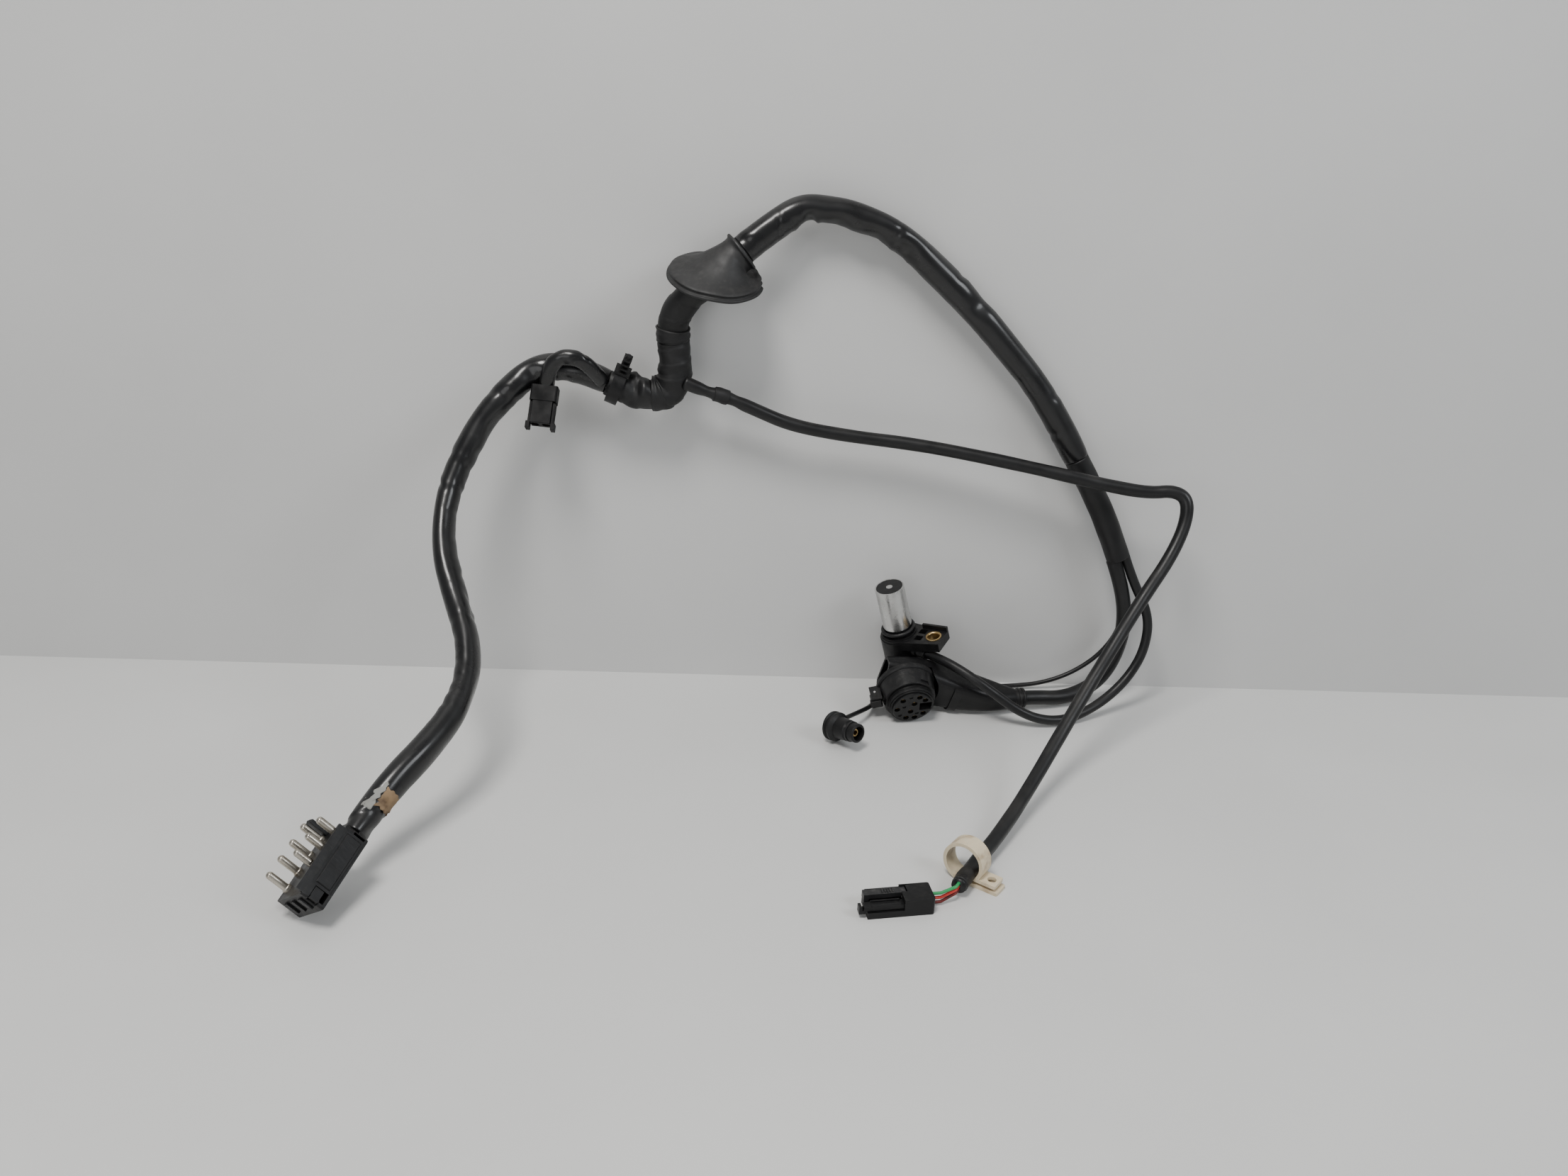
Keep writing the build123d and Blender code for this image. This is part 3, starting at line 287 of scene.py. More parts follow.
    def patch(self, name, start, stop, low, high, lift, finish, seed):
        """A thin ragged piece stuck on the tube between two places and two angles."""
        rows, columns = 40, 36
        s = np.linspace(start, stop, rows)
        a = np.linspace(low, high, columns)
        ragged = smooth_noise(np.linspace(0, 1, rows), np.linspace(0, 6, columns), seed, 5, 3)
        s_grid = s[:, None] + 0.9 * ragged * (2 * np.linspace(0, 1, rows)[:, None] - 1)
        a_grid = a[None, :] + 0.09 * ragged * (2 * np.linspace(0, 1, columns)[None, :] - 1)
        where = s_grid / 1000
        base = [np.interp(where.ravel(), self.along, self.points[:, k]) for k in range(3)]
        side = [np.interp(where.ravel(), self.along, self.side[:, k]) for k in range(3)]
        rise = [np.interp(where.ravel(), self.along, self.rise[:, k]) for k in range(3)]
        base, side, rise = np.array(base).T, np.array(side).T, np.array(rise).T
        rim = np.minimum.outer(np.minimum(np.arange(rows), np.arange(rows)[::-1]),
                               np.minimum(np.arange(columns), np.arange(columns)[::-1]))
        height = self.radius + lift / 1000 * np.clip(rim, 0, 1) + 0.00008 * ragged
        out = np.cos(a_grid.ravel())[:, None] * side + np.sin(a_grid.ravel())[:, None] * rise
        grid = (base + out * height.reshape(-1, 1)).reshape(rows, columns, 3)
        piece = grid_mesh(name, grid, closed=False, caps=False)
        dress(piece, finish)
        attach(piece, "harness")
        return piece

# %% [markdown]
# ## Finishes
# Every finish starts from one recipe: a base colour mottled by noise, a roughness that varies, a fine bump
# and pale dust that settles where the surface faces up.

# %%
class Recipe:
    """A small wrapper that adds and joins shader nodes."""

    def __init__(self, name):
        self.material = bpy.data.materials.new(name)
        self.material.use_nodes = True
        self.tree = self.material.node_tree
        self.shader = self.tree.nodes["Principled BSDF"]

    def node(self, kind, **values):
        made = self.tree.nodes.new(kind)
        for key, value in values.items():
            setattr(made, key, value)
        return made

    def join(self, source, target):
        self.tree.links.new(source, target)

    def position(self, own=False):
        if own:
            return self.node("ShaderNodeAttribute", attribute_name="lay").outputs["Vector"]
        return self.node("ShaderNodeTexCoord").outputs["Object"]

    def noise(self, scale, detail=4.0, own=False, stretch=None):
        made = self.node("ShaderNodeTexNoise")
        made.inputs["Scale"].default_value = scale
        made.inputs["Detail"].default_value = detail
        source = self.position(own)
        if stretch:
            mapping = self.node("ShaderNodeMapping")
            mapping.inputs["Scale"].default_value = stretch
            self.join(source, mapping.inputs["Vector"])
            source = mapping.outputs["Vector"]
        self.join(source, made.inputs["Vector"])
        return made.outputs["Fac"]

    def between(self, value, low, high, to_low, to_high):
        made = self.node("ShaderNodeMapRange")
        for key, number in zip(("From Min", "From Max", "To Min", "To Max"), (low, high, to_low, to_high)):
            made.inputs[key].default_value = number
        self.join(value, made.inputs["Value"])
        return made.outputs["Result"]

    def math(self, operation, first, second):
        made = self.node("ShaderNodeMath", operation=operation)
        for slot, value in zip(made.inputs, (first, second)):
            if isinstance(value, (int, float)):
                slot.default_value = value
            else:
                self.join(value, slot)
        return made.outputs[0]

    def mix(self, share, first, second):
        made = self.node("ShaderNodeMix", data_type="RGBA")
        for key, value in (("A", first), ("B", second)):
            slot = [s for s in made.inputs if s.name == key and s.type == "RGBA"][0]
            if isinstance(value, tuple):
                slot.default_value = (*value, 1)
            else:
                self.join(value, slot)
        self.join(share, made.inputs["Factor"])
        return [s for s in made.outputs if s.type == "RGBA"][0]

    def upward(self):
        """0 where the surface faces sideways or down, 1 where it faces straight up."""
        parts = self.node("ShaderNodeSeparateXYZ")
        self.join(self.node("ShaderNodeNewGeometry").outputs["Normal"], parts.inputs[0])
        return self.between(parts.outputs["Z"], 0.1, 1.0, 0.0, 1.0)

    def bump(self, heights):
        """Bumps chained one on another from (height, strength, distance) entries."""
        last = None
        for value, strength, distance in heights:
            made = self.node("ShaderNodeBump")
            made.inputs["Strength"].default_value = strength
            made.inputs["Distance"].default_value = distance
            self.join(value, made.inputs["Height"])
            if last:
                self.join(last, made.inputs["Normal"])
            last = made.outputs["Normal"]
        self.join(last, self.shader.inputs["Normal"])


DUST = (0.30, 0.28, 0.25)


def finish(name, colour, rough, spread=0.12, metal=0.0, grain=(900.0, 0.15), mottle=0.35, dust=0.25,
           coat=0.0, scratches=0.0, stain=None, stain_share=0.5, shine=0.5):
    """One surface finish. grain is (scale, strength) of the fine bump, spread the change in roughness."""
    recipe = Recipe(name)
    broad = recipe.noise(55.0, 5.0)
    fine = recipe.noise(grain[0], 3.0)
    dark = tuple(c * (1 - mottle) for c in colour)
    base = recipe.mix(recipe.between(broad, 0.3, 0.7, 0.0, 1.0), dark, colour)
    if stain:
        blot = recipe.between(recipe.noise(130.0, 6.0), 0.52, 0.66, 0.0, stain_share)
        base = recipe.mix(blot, base, stain)
    speck = recipe.between(recipe.noise(420.0, 6.0), 0.50, 0.72, 0.0, 1.0)
    cover = recipe.math("MULTIPLY", recipe.math("MULTIPLY", speck, recipe.upward()), dust)
    base = recipe.mix(cover, base, DUST)
    recipe.join(base, recipe.shader.inputs["Base Color"])
    worn = recipe.between(recipe.noise(140.0, 6.0), 0.3, 0.7, rough - spread, rough + spread)
    worn = recipe.math("ADD", worn, recipe.math("MULTIPLY", cover, 0.5))
    recipe.join(worn, recipe.shader.inputs["Roughness"])
    recipe.shader.inputs["Metallic"].default_value = metal
    recipe.shader.inputs["Specular IOR Level"].default_value = shine
    recipe.shader.inputs["Coat Weight"].default_value = coat
    recipe.shader.inputs["Coat Roughness"].default_value = 0.18
    heights = [(fine, grain[1], 0.0002), (broad, 0.12, 0.0006)]
    if scratches:
        streaks = recipe.noise(60.0, 8.0, stretch=(1.0, 14.0, 3.0))
        heights.append((recipe.between(streaks, 0.55, 0.62, 0.0, 1.0), scratches, 0.0001))
    recipe.bump(heights)
    return recipe.material


def sleeve_finish(name, colour, rough, wrinkle, coat=0.0, weave=0.0, dust=0.2):
    """A sleeve: long slack wrinkles that follow its own length, and cloth texture if it is taped."""
    recipe = Recipe(name)
    along = recipe.noise(95.0, 5.0, own=True, stretch=(1.0, 0.35, 1.0))
    across = recipe.noise(240.0, 4.0, own=True, stretch=(0.5, 1.4, 1.0))
    base = recipe.mix(recipe.between(along, 0.3, 0.7, 0.0, 1.0), tuple(0.6 * c for c in colour), colour)
    smear = recipe.between(recipe.noise(60.0, 7.0), 0.50, 0.75, 0.0, 1.0)
    cover = recipe.math("MULTIPLY", recipe.math("MULTIPLY", smear, recipe.upward()), dust)
    base = recipe.mix(cover, base, DUST)
    recipe.join(base, recipe.shader.inputs["Base Color"])
    patchy = recipe.between(recipe.noise(70.0, 6.0), 0.35, 0.7, rough - 0.07, rough + 0.12)
    rougher = recipe.math("ADD", patchy, recipe.math("MULTIPLY", cover, 0.6))
    recipe.join(rougher, recipe.shader.inputs["Roughness"])
    recipe.shader.inputs["Specular IOR Level"].default_value = 0.38
    recipe.shader.inputs["Coat Weight"].default_value = coat
    recipe.shader.inputs["Coat Roughness"].default_value = 0.12
    heights = [(along, wrinkle, 0.0009), (across, wrinkle * 0.5, 0.0004),
               (recipe.noise(1400.0, 2.0), 0.06, 0.0001)]
    if weave:
        wave = recipe.node("ShaderNodeTexWave", wave_type="BANDS", bands_direction="X")
        wave.inputs["Scale"].default_value = 260.0
        wave.inputs["Distortion"].default_value = 1.2
        recipe.join(recipe.position(own=True), wave.inputs["Vector"])
        heights.append((wave.outputs["Fac"], weave, 0.0001))
    recipe.bump(heights)
    return recipe.material


PVC = sleeve_finish("glossy_sleeve", (0.005, 0.005, 0.0055), 0.30, 0.10, coat=0.25, dust=0.03)
TAPE = sleeve_finish("matte_tape", (0.007, 0.007, 0.0075), 0.50, 0.22, weave=0.12, dust=0.06)
SHRINK = sleeve_finish("shrink_sleeve", (0.006, 0.006, 0.0065), 0.48, 0.12, dust=0.06)
JACKET = sleeve_finish("cable_jacket", (0.006, 0.006, 0.0065), 0.40, 0.04, dust=0.06)
PLASTIC = finish("black_plastic", (0.006, 0.006, 0.0065), 0.40, grain=(1600.0, 0.10), dust=0.03,
                 scratches=0.15, shine=0.30)
WORN_PLASTIC = finish("worn_black_plastic", (0.007, 0.007, 0.0075), 0.42, grain=(1200.0, 0.16), dust=0.05,
                      scratches=0.3, shine=0.34)
FLAT_PLASTIC = finish("flat_black_plastic", (0.005, 0.005, 0.0055), 0.55, grain=(1600.0, 0.12), dust=0.02,
                      shine=0.14)
GREY = finish("greyed_plastic", (0.018, 0.018, 0.019), 0.46, grain=(1200.0, 0.2), dust=0.15, scratches=0.4)
GROMMET = finish("grommet_rubber", (0.013, 0.013, 0.0135), 0.54, grain=(700.0, 0.18), dust=0.05, mottle=0.3)
SEAL = finish("seal_rubber", (0.008, 0.008, 0.0085), 0.46, grain=(900.0, 0.15), dust=0.05, shine=0.35)
NICKEL = finish("dull_nickel", (0.58, 0.54, 0.47), 0.30, metal=1.0, grain=(1500.0, 0.10), dust=0.15,
                stain=(0.20, 0.15, 0.10), stain_share=0.55)
STEEL = finish("satin_steel", (0.60, 0.60, 0.59), 0.27, spread=0.08, metal=1.0, grain=(1800.0, 0.06),
               dust=0.1, scratches=0.2, mottle=0.15)
BRASS = finish("tarnished_brass", (0.62, 0.44, 0.20), 0.34, metal=1.0, grain=(1500.0, 0.12), dust=0.15,
               stain=(0.20, 0.12, 0.05), stain_share=0.5)
MAGNET = finish("sintered_magnet", (0.10, 0.10, 0.11), 0.5, metal=1.0, grain=(2000.0, 0.3), dust=0.0)
COPPER = finish("enamelled_copper", (0.50, 0.20, 0.09), 0.35, metal=1.0, grain=(2500.0, 0.4), dust=0.0)
NYLON = finish("yellowed_nylon", (0.70, 0.60, 0.43), 0.42, grain=(900.0, 0.1), dust=0.1, mottle=0.14,
               stain=(0.30, 0.20, 0.11), stain_share=0.6)
NYLON.node_tree.nodes["Principled BSDF"].inputs["Subsurface Weight"].default_value = 0.25
NYLON.node_tree.nodes["Principled BSDF"].inputs["Subsurface Radius"].default_value = (0.002, 0.0015, 0.001)
RED = finish("red_insulation", (0.55, 0.03, 0.02), 0.35, grain=(1500.0, 0.05), dust=0.1)
LILAC = finish("lilac_insulation", (0.42, 0.30, 0.52), 0.38, grain=(1500.0, 0.05), dust=0.1)
GREEN = finish("green_insulation", (0.02, 0.34, 0.10), 0.35, grain=(1500.0, 0.05), dust=0.1)
DARK_RED = finish("striped_insulation", (0.16, 0.010, 0.008), 0.38, grain=(1500.0, 0.05), dust=0.1,
                  stain=(0.015, 0.015, 0.015), stain_share=0.9)
LABEL = finish("label_foil", (0.27, 0.27, 0.25), 0.62, grain=(500.0, 0.4), dust=0.1, stain=(0.08, 0.08, 0.07),
               stain_share=0.7)
LABEL_BACK = finish("label_backing", (0.30, 0.20, 0.11), 0.85, grain=(600.0, 1.0), dust=0.0, mottle=0.75,
                    stain=(0.07, 0.04, 0.02), stain_share=0.95)

# %% [markdown]
# ## Moulded pieces
# Their exact solids stay; each gets softly rounded edges and its finish.

# %%
FINISH_OF = {
    "header_housing": WORN_PLASTIC, "header_cover": PLASTIC, "header_latch": PLASTIC, "header_pins": NICKEL,
    "header_blank_seal": SEAL, "header_guide_peg": PLASTIC, "header_wire_red": RED,
    "header_wire_lilac": LILAC, "header_wires_dark": PLASTIC, "cable_clip": PLASTIC,
    "two_way_cap": FLAT_PLASTIC, "two_way_housing": FLAT_PLASTIC,
    "two_way_contacts": BRASS, "two_way_wires": JACKET, "two_way_latch_left": FLAT_PLASTIC,
    "two_way_latch_right": FLAT_PLASTIC, "round_insert": PLASTIC, "round_contacts": BRASS,
    "round_shell": PLASTIC,
    "round_face_seal": SEAL, "coupling_ring": WORN_PLASTIC, "ring_lever": PLASTIC, "ring_lever_pin": STEEL,
    "backshell_base": PLASTIC, "backshell_cover": PLASTIC, "backshell_strap": PLASTIC, "sensor_barrel": STEEL,
    "sensor_face": PLASTIC, "sensor_pole": STEEL, "sensor_magnet": MAGNET, "sensor_bobbin": PLASTIC,
    "sensor_coil": COPPER, "sensor_oring": SEAL, "sensor_body": WORN_PLASTIC, "sensor_bush": BRASS,
    "sensor_outlet": WORN_PLASTIC, "single_housing": PLASTIC, "single_contact": BRASS, "single_seal": SEAL,
    "retaining_clip": NYLON, "plug_housing": PLASTIC, "plug_terminals": BRASS, "plug_latch": GREY,
    "plug_lock": PLASTIC, "plug_wire_green": GREEN, "plug_wire_red": RED, "plug_wire_striped": DARK_RED,
    "cable_collar": SEAL, "single_boot": SEAL,
}
EDGE = {"header_housing": 0.5, "header_cover": 0.25, "sensor_body": 0.6, "coupling_ring": 0.35,
        "retaining_clip": 0.35, "backshell_base": 0.5, "backshell_cover": 0.5, "plug_housing": 0.3}
SMALL_EDGE = 0.15
ROUND_ALREADY = ("header_pins", "header_wire_red", "header_wire_lilac", "header_wires_dark", "two_way_wires",
                 "plug_wire_green", "plug_wire_red", "plug_wire_striped", "sensor_oring")


def soften(piece, width):
    """Joins the solid's edges, rounds them by width millimetres and evens out the shading."""
    weld = piece.modifiers.new("weld", "WELD")
    weld.merge_threshold = 0.000005
    if width:
        bevel = piece.modifiers.new("bevel", "BEVEL")
        bevel.width = width / 1000
        bevel.segments = 2
        bevel.limit_method = "ANGLE"
        bevel.angle_limit = math.radians(38)
        bevel.use_clamp_overlap = True
    even = piece.modifiers.new("even", "WEIGHTED_NORMAL")
    even.keep_sharp = True


for name, look in FINISH_OF.items():
    NODES[name].data.materials.clear()
    NODES[name].data.materials.append(look)
    soften(NODES[name], 0.0 if name in ROUND_ALREADY else EDGE.get(name, SMALL_EDGE))

# %% [markdown]
# ## Sleeves, tape and cables

# %%
OUT = (0, -1, 0.2)


def main_sleeve():
    """Slack glossy sleeve from the pin header up to the junction."""
    tube = Tube("main_sleeve", MAIN_ROUTE, MAIN_RADIUS)
    tube.flatten(0.09, (1, 0, 0.3))
    tube.buckle(0.10, 13.0, 3)
    tube.creases(0.09, 16, 5)
    tube.unevenness(0.045, 7, cells=22)
    for place, width, depth, way in ((150, 16, 0.22, (1, -0.3, 0)), (205, 22, 0.20, (-1, -0.4, 0)),
                                     (262, 7, 0.30, (0.6, -0.6, -0.4)), (300, 5, 0.28, OUT),
                                     (95, 12, 0.18, (1, 0, -0.4)), (318, 8, 0.22, (0, -0.8, 0.6))):
        tube.dent(place, width, depth, way)
    tube.taper(0.95, 0.9)
    tube.step_in(11.0, 0.12, (0.8, -0.5, -0.3), 7.0)
    tube.build(PVC, "main_sleeve")
    return tube


def arch_sleeve():
    """Larger glossy sleeve over the arch, crushed at its top and narrowing towards the shrink sleeve."""
    tube = Tube("arch_sleeve", ARCH_ROUTE, ARCH_RADIUS)
    tube.flatten(0.06, (0, 1, 0.3))
    tube.buckle(0.14, 15.0, 13)
    tube.creases(0.08, 9, 17)
    tube.unevenness(0.04, 19, cells=18)
    for place, width, depth, way in ((42, 6, 0.30, (0.3, -0.4, -0.9)), (62, 7, 0.34, (0.2, -0.5, -0.8)),
                                     (84, 9, 0.30, (-0.2, -0.5, -0.9)), (104, 6, 0.22, (-0.3, -0.8, -0.4)),
                                     (155, 6, 0.26, (0.5, -0.8, 0.5)), (52, 9, 0.14, (0, -0.3, 1))):
        tube.dent(place, width, depth, way, 2)
    tube.pinch(215, 50, 0.08)
    tube.taper(1.02, 0.93)
    tube.build(PVC, "arch_sleeve")
    return tube


def junction_wrap():
    """Tape wound over the junction, with the sleeve's slack bunched under it."""
    tube = Tube("junction_wrap", WRAP_ROUTE, WRAP_RADIUS, gap=0.0007)
    tube.unevenness(0.10, 23, cells=70, around=3)
    tube.creases(0.09, 26, 29)
    tube.spiral(9.0, 0.06)
    tube.pinch(2, 7, 0.18)
    tube.taper(0.86, 0.94)
    tube.build(TAPE, "junction_wrap")
    return tube


def riser_sleeve():
    """Taped riser from the junction into the grommet."""
    tube = Tube("riser_sleeve", RISER_ROUTE, RISER_RADIUS, gap=0.0007)
    tube.unevenness(0.05, 31, cells=60)
    tube.spiral(11.0, 0.05)
    tube.build(TAPE, "riser_sleeve")
    return tube


def heat_shrink():
    """Shrunk sleeve that gathers the three cables; its lower end shows their lobes."""
    tube = Tube("heat_shrink", SHRINK_ROUTE, SHRINK_RADIUS, gap=0.0007)
    s = (tube.along / tube.length)[:, None]
    lobes = np.cos(3 * tube.angle[None, :] + 0.6)
    tube.ratio += 0.075 * lobes * s ** 2
    tube.unevenness(0.02, 37)
    tube.taper(1.0, 0.97)
    tube.build(SHRINK, "heat_shrink")
    return tube


def plain_cable(name, route, radius, seed, finish_used=None):
    """A cable whose jacket is nearly round, with faint lumps from the cores inside."""
    tube = Tube(name, route, radius, gap=0.0012, around=36)
    tube.unevenness(0.015, seed, cells=30, around=2)
    tube.build(finish_used or JACKET, name)
    return tube


main = main_sleeve()
arch = arch_sleeve()
wrap = junction_wrap()
riser = riser_sleeve()
shrink = heat_shrink()
round_cable = plain_cable("round_cable", ROUND_CABLE_ROUTE, ROUND_RADIUS, 41)
sensor_cable = plain_cable("sensor_cable", SENSOR_CABLE_ROUTE, SENSOR_RADIUS, 43)
thin_wire = plain_cable("single_pole_wire", THIN_WIRE_ROUTE, WIRE_RADIUS, 47)

branch = Tube("branch_cable", BRANCH_ROUTE, BRANCH_RADIUS, gap=0.0012, around=40)
branch.unevenness(0.02, 53, cells=30, around=2)
branch.flatten(0.02, (0, 1, 0))
branch.pinch(14, 4, 0.20)
branch.pinch(31, 4, 0.16)
branch.build(JACKET, "branch_cable")

plug_branch = Tube("plug_branch_sleeve", PLUG_BRANCH_ROUTE, PLUG_BRANCH_RADIUS, gap=0.0006, around=40)
plug_branch.flatten(0.10, (0, 1, 0))
plug_branch.creases(0.12, 14, 59)
plug_branch.build(PVC, "plug_branch_sleeve")

# %% [markdown]
# ## Grommet
# The cone is a blend between the round lip and the leaning neck. Rubber sags between them, and a piece of the
# lip is torn away on the right.

# %%
LIP_AXIS = unit((0.12, -0.27, 0.955))
NECK_END = np.array(RISER_ROUTE[-1])
NECK_AXIS = unit(NECK_END - np.array(RISER_ROUTE[-2]))
NECK_LENGTH, NECK_RADIUS, NECK_RIM = 6.0, 10.4, 11.8
LIP_RADIUS, LIP_GROOVE, LIP_THICK, PANEL_SLOT, GROMMET_WALL = 27.0, 25.2, 1.6, 1.6, 1.8


def grommet():
    """Rings of points from the lip up to the neck and back down inside, joined into one skin."""
    around = 144
    a = np.linspace(0, 2 * math.pi, around, endpoint=False)
    foot = NECK_END - NECK_AXIS * (NECK_LENGTH + 0.4)

    def ring(centre, out, radius):
        z = unit(out)
        x = np.array([1.0, 0.0, -0.3])
        x = unit(x - z * (x @ z))
        y = np.cross(z, x)
        return centre + radius * (np.cos(a)[:, None] * x + np.sin(a)[:, None] * y)

    def lip(radius, height):
        torn = np.exp(-((a - 0.35) / 0.16) ** 2) + 0.7 * np.exp(-((a - 0.02) / 0.09) ** 2)
        ripple = 0.25 * np.sin(3 * a + 0.5) + 0.18 * np.sin(7 * a)
        centre = ORIGIN + LIP_AXIS * height
        shape = ring(centre, LIP_AXIS, 1.0) - centre
        edge = radius - 2.4 * torn * np.clip((radius - 24.4) / 2.6, 0, 1)
        return centre + shape * edge[:, None] + LIP_AXIS * (ripple * radius / 27)[:, None]

    def neck(radius, height):
        return ring(foot + NECK_AXIS * height, NECK_AXIS, radius)

    top = LIP_THICK + PANEL_SLOT
    outer_lip, outer_neck = lip(LIP_RADIUS - 1.8, 4.4), neck(NECK_RADIUS, 0)
    inner_neck, inner_lip = neck(RISER_RADIUS + 0.35, -1.2), lip(LIP_GROOVE - GROMMET_WALL - 0.6, 3.0)
    shares = np.linspace(0, 1, 15)[1:-1]
    sag = 1.6 * np.sin(math.pi * shares) ** 1.2
    rings = [lip(LIP_RADIUS - 0.5, -0.05), lip(LIP_RADIUS, 0.3), lip(LIP_RADIUS, LIP_THICK - 0.3),
             lip(LIP_RADIUS - 0.4, LIP_THICK), lip(LIP_GROOVE + 0.2, LIP_THICK), lip(LIP_GROOVE, top - 0.1),
             lip(LIP_RADIUS - 1.3, top), lip(LIP_RADIUS - 1.1, top + 0.5), outer_lip]
    rings += [outer_lip * (1 - t) + outer_neck * t - LIP_AXIS * d for t, d in zip(shares, sag)]
    rings += [outer_neck, neck(NECK_RADIUS, 1.5), neck(NECK_RADIUS, NECK_LENGTH - 2.2),
              neck(NECK_RIM - 0.2, NECK_LENGTH - 1.7), neck(NECK_RIM, NECK_LENGTH - 1.3),
              neck(NECK_RIM, NECK_LENGTH - 0.4), neck(NECK_RIM - 0.4, NECK_LENGTH),
              neck(RISER_RADIUS + 0.2, NECK_LENGTH), neck(RISER_RADIUS + 0.05, NECK_LENGTH - 0.5), inner_neck]
    rings += [inner_neck * (1 - t) + inner_lip * t - LIP_AXIS * 0.4 * d for t, d in zip(shares, sag)]
    rings += [inner_lip, lip(LIP_GROOVE - GROMMET_WALL, 0.2), lip(LIP_GROOVE - GROMMET_WALL + 0.4, -0.05)]
    rings.append(rings[0])
    skin = grid_mesh("grommet_skin", row(np.array(rings)), caps=False)
    dress(skin, GROMMET)
    soft = skin.modifiers.new("smooth", "SUBSURF")
    soft.levels = 1
    soft.render_levels = 1
    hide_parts("grommet")
    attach(skin, "harness")
    return skin


grommet()

# %% [markdown]
# ## Small details
# Torn label near the pin header and tape ends.

# %%
label = main.patch("torn_label", 12.0, 29.0, 1.05, 1.80, 0.50, LABEL, 61)
backing = main.patch("label_residue", 15.5, 27.0, -0.30, 1.00, 0.65, LABEL_BACK, 67)


def band(name, tube, start, stop, lift, look, seed):
    """A sleeve of tape round part of a tube, its edges slightly uneven."""
    rows = 26
    a = tube.angle
    s = np.linspace(start, stop, rows)
    edge = 0.35 * np.sin(2 * a + seed)[None, :] * np.abs(np.linspace(-1, 1, rows))[:, None] ** 6
    where = (s[:, None] + edge) / 1000
    centre = np.stack([np.interp(where, tube.along, tube.points[:, k]) for k in range(3)], axis=-1)
    side = np.stack([np.interp(where, tube.along, tube.side[:, k]) for k in range(3)], axis=-1)
    rise = np.stack([np.interp(where, tube.along, tube.rise[:, k]) for k in range(3)], axis=-1)
    lumps = 1 + 0.05 * smooth_noise(np.linspace(0, 1, rows), a, seed, 2, 3)
    fall = np.ones(rows)
    fall[[0, -1]] = 0.0
    radius = tube.radius * lumps + lift / 1000 * fall[:, None]
    grid = centre + radius[:, :, None] * (np.cos(a)[None, :, None] * side + np.sin(a)[None, :, None] * rise)
    made = grid_mesh(name, grid, caps=False)
    dress(made, look)
    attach(made, "harness")
    return made


branch_tape = band("branch_tape", branch, 18.0, 27.0, 0.6, TAPE, 2)
branch_end_tape = band("branch_end_tape", branch, branch.length * 1000 - 12, branch.length * 1000 - 1.5, 0.45,
                       TAPE, 4)
band("junction_tape_end", wrap, 26.0, 34.0, 0.7, TAPE, 5)
band("riser_tape_end", riser, 1.0, 8.0, 1.0, TAPE, 6)

# %% [markdown]

# %% [markdown]
# ## Floor, wall, light and camera
# A pale floor and wall stand in for the place; the wall shows only from the front.

# %%
FLOOR_Z, WALL_Y = -0.258, 0.0275


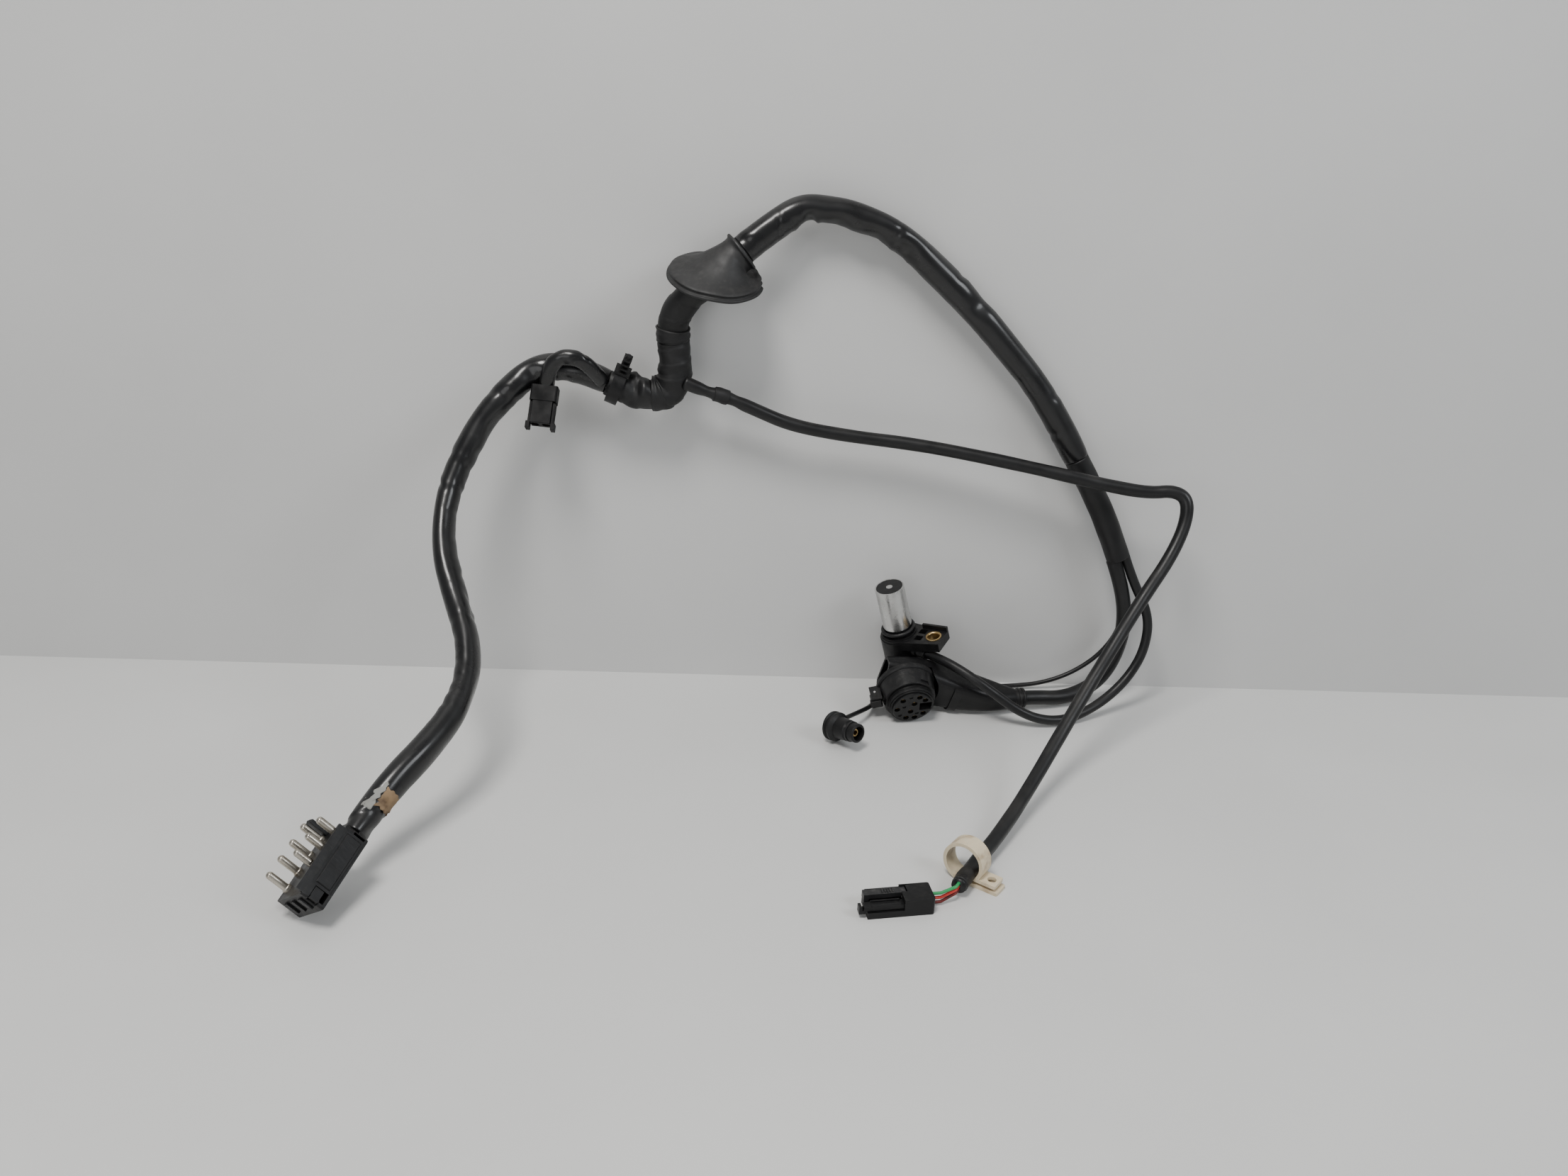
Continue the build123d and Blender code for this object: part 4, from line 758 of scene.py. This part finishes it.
def stage_sheet(name, corners, colour, rough, one_sided=False):
    mesh = bpy.data.meshes.new(name)
    mesh.from_pydata(corners, [], [(0, 1, 2, 3)])
    sheet = bpy.data.objects.new(name, mesh)
    bpy.context.scene.collection.objects.link(sheet)
    recipe = Recipe(name + "_paint")
    tint = recipe.between(recipe.noise(6.0, 4.0), 0.3, 0.7, 0.0, 1.0)
    recipe.join(recipe.mix(tint, tuple(0.94 * c for c in colour), colour), recipe.shader.inputs["Base Color"])
    recipe.shader.inputs["Roughness"].default_value = rough
    if one_sided:
        clear = recipe.node("ShaderNodeBsdfTransparent")
        blend = recipe.node("ShaderNodeMixShader")
        recipe.join(recipe.node("ShaderNodeNewGeometry").outputs["Backfacing"], blend.inputs[0])
        recipe.join(recipe.shader.outputs[0], blend.inputs[1])
        recipe.join(clear.outputs[0], blend.inputs[2])
        recipe.join(blend.outputs[0], recipe.tree.nodes["Material Output"].inputs["Surface"])
    mesh.materials.append(recipe.material)


stage_sheet("floor", [(-3, -3, FLOOR_Z), (3, -3, FLOOR_Z), (3, 3, FLOOR_Z), (-3, 3, FLOOR_Z)],
            (0.64, 0.64, 0.63), 0.42)
stage_sheet("wall", [(-3, WALL_Y, FLOOR_Z), (3, WALL_Y, FLOOR_Z), (3, WALL_Y, 2.5), (-3, WALL_Y, 2.5)],
            (0.55, 0.55, 0.545), 0.5, one_sided=True)


def soft_light(name, place, target, size, power, colour):
    lamp = bpy.data.lights.new(name, "AREA")
    lamp.shape = "DISK"
    lamp.size = size
    lamp.energy = power
    lamp.color = colour
    made = bpy.data.objects.new(name, lamp)
    made.location = place
    made.rotation_euler = (Vector(target) - Vector(place)).to_track_quat("-Z", "Y").to_euler()
    bpy.context.scene.collection.objects.link(made)


soft_light("key", (-0.25, -0.65, 1.1), (0, 0, -0.05), 0.45, 16.0, (1.0, 0.98, 0.95))
soft_light("side", (1.1, -0.7, 0.7), (0.05, 0, -0.1), 0.6, 7.0, (0.94, 0.97, 1.0))
soft_light("front", (-0.6, -1.5, 0.3), (0, 0, -0.1), 0.9, 4.0, (1.0, 1.0, 1.0))

world = bpy.data.worlds.new("room")
world.use_nodes = True
world.node_tree.nodes["Background"].inputs["Color"].default_value = (0.82, 0.84, 0.86, 1)
world.node_tree.nodes["Background"].inputs["Strength"].default_value = 0.4
bpy.context.scene.world = world

# The camera's own right, up and forward directions, found when the harness was measured.
RIGHT = (0.99909, -0.01716, 0.03911)
UPWARD = (-0.02891, 0.40195, 0.91528)
FORWARD = (0.03142, 0.91557, -0.40109)
EYE = row((0, -755.6, 393.8))
lens = bpy.data.cameras.new("camera")
lens.lens = 30.14
lens.sensor_width = 36.0
camera = bpy.data.objects.new("camera", lens)
pose = Matrix([[RIGHT[k], UPWARD[k], -FORWARD[k], EYE[k]] for k in range(3)] + [[0, 0, 0, 1]])
camera.matrix_world = pose
bpy.context.scene.collection.objects.link(camera)
bpy.context.scene.camera = camera
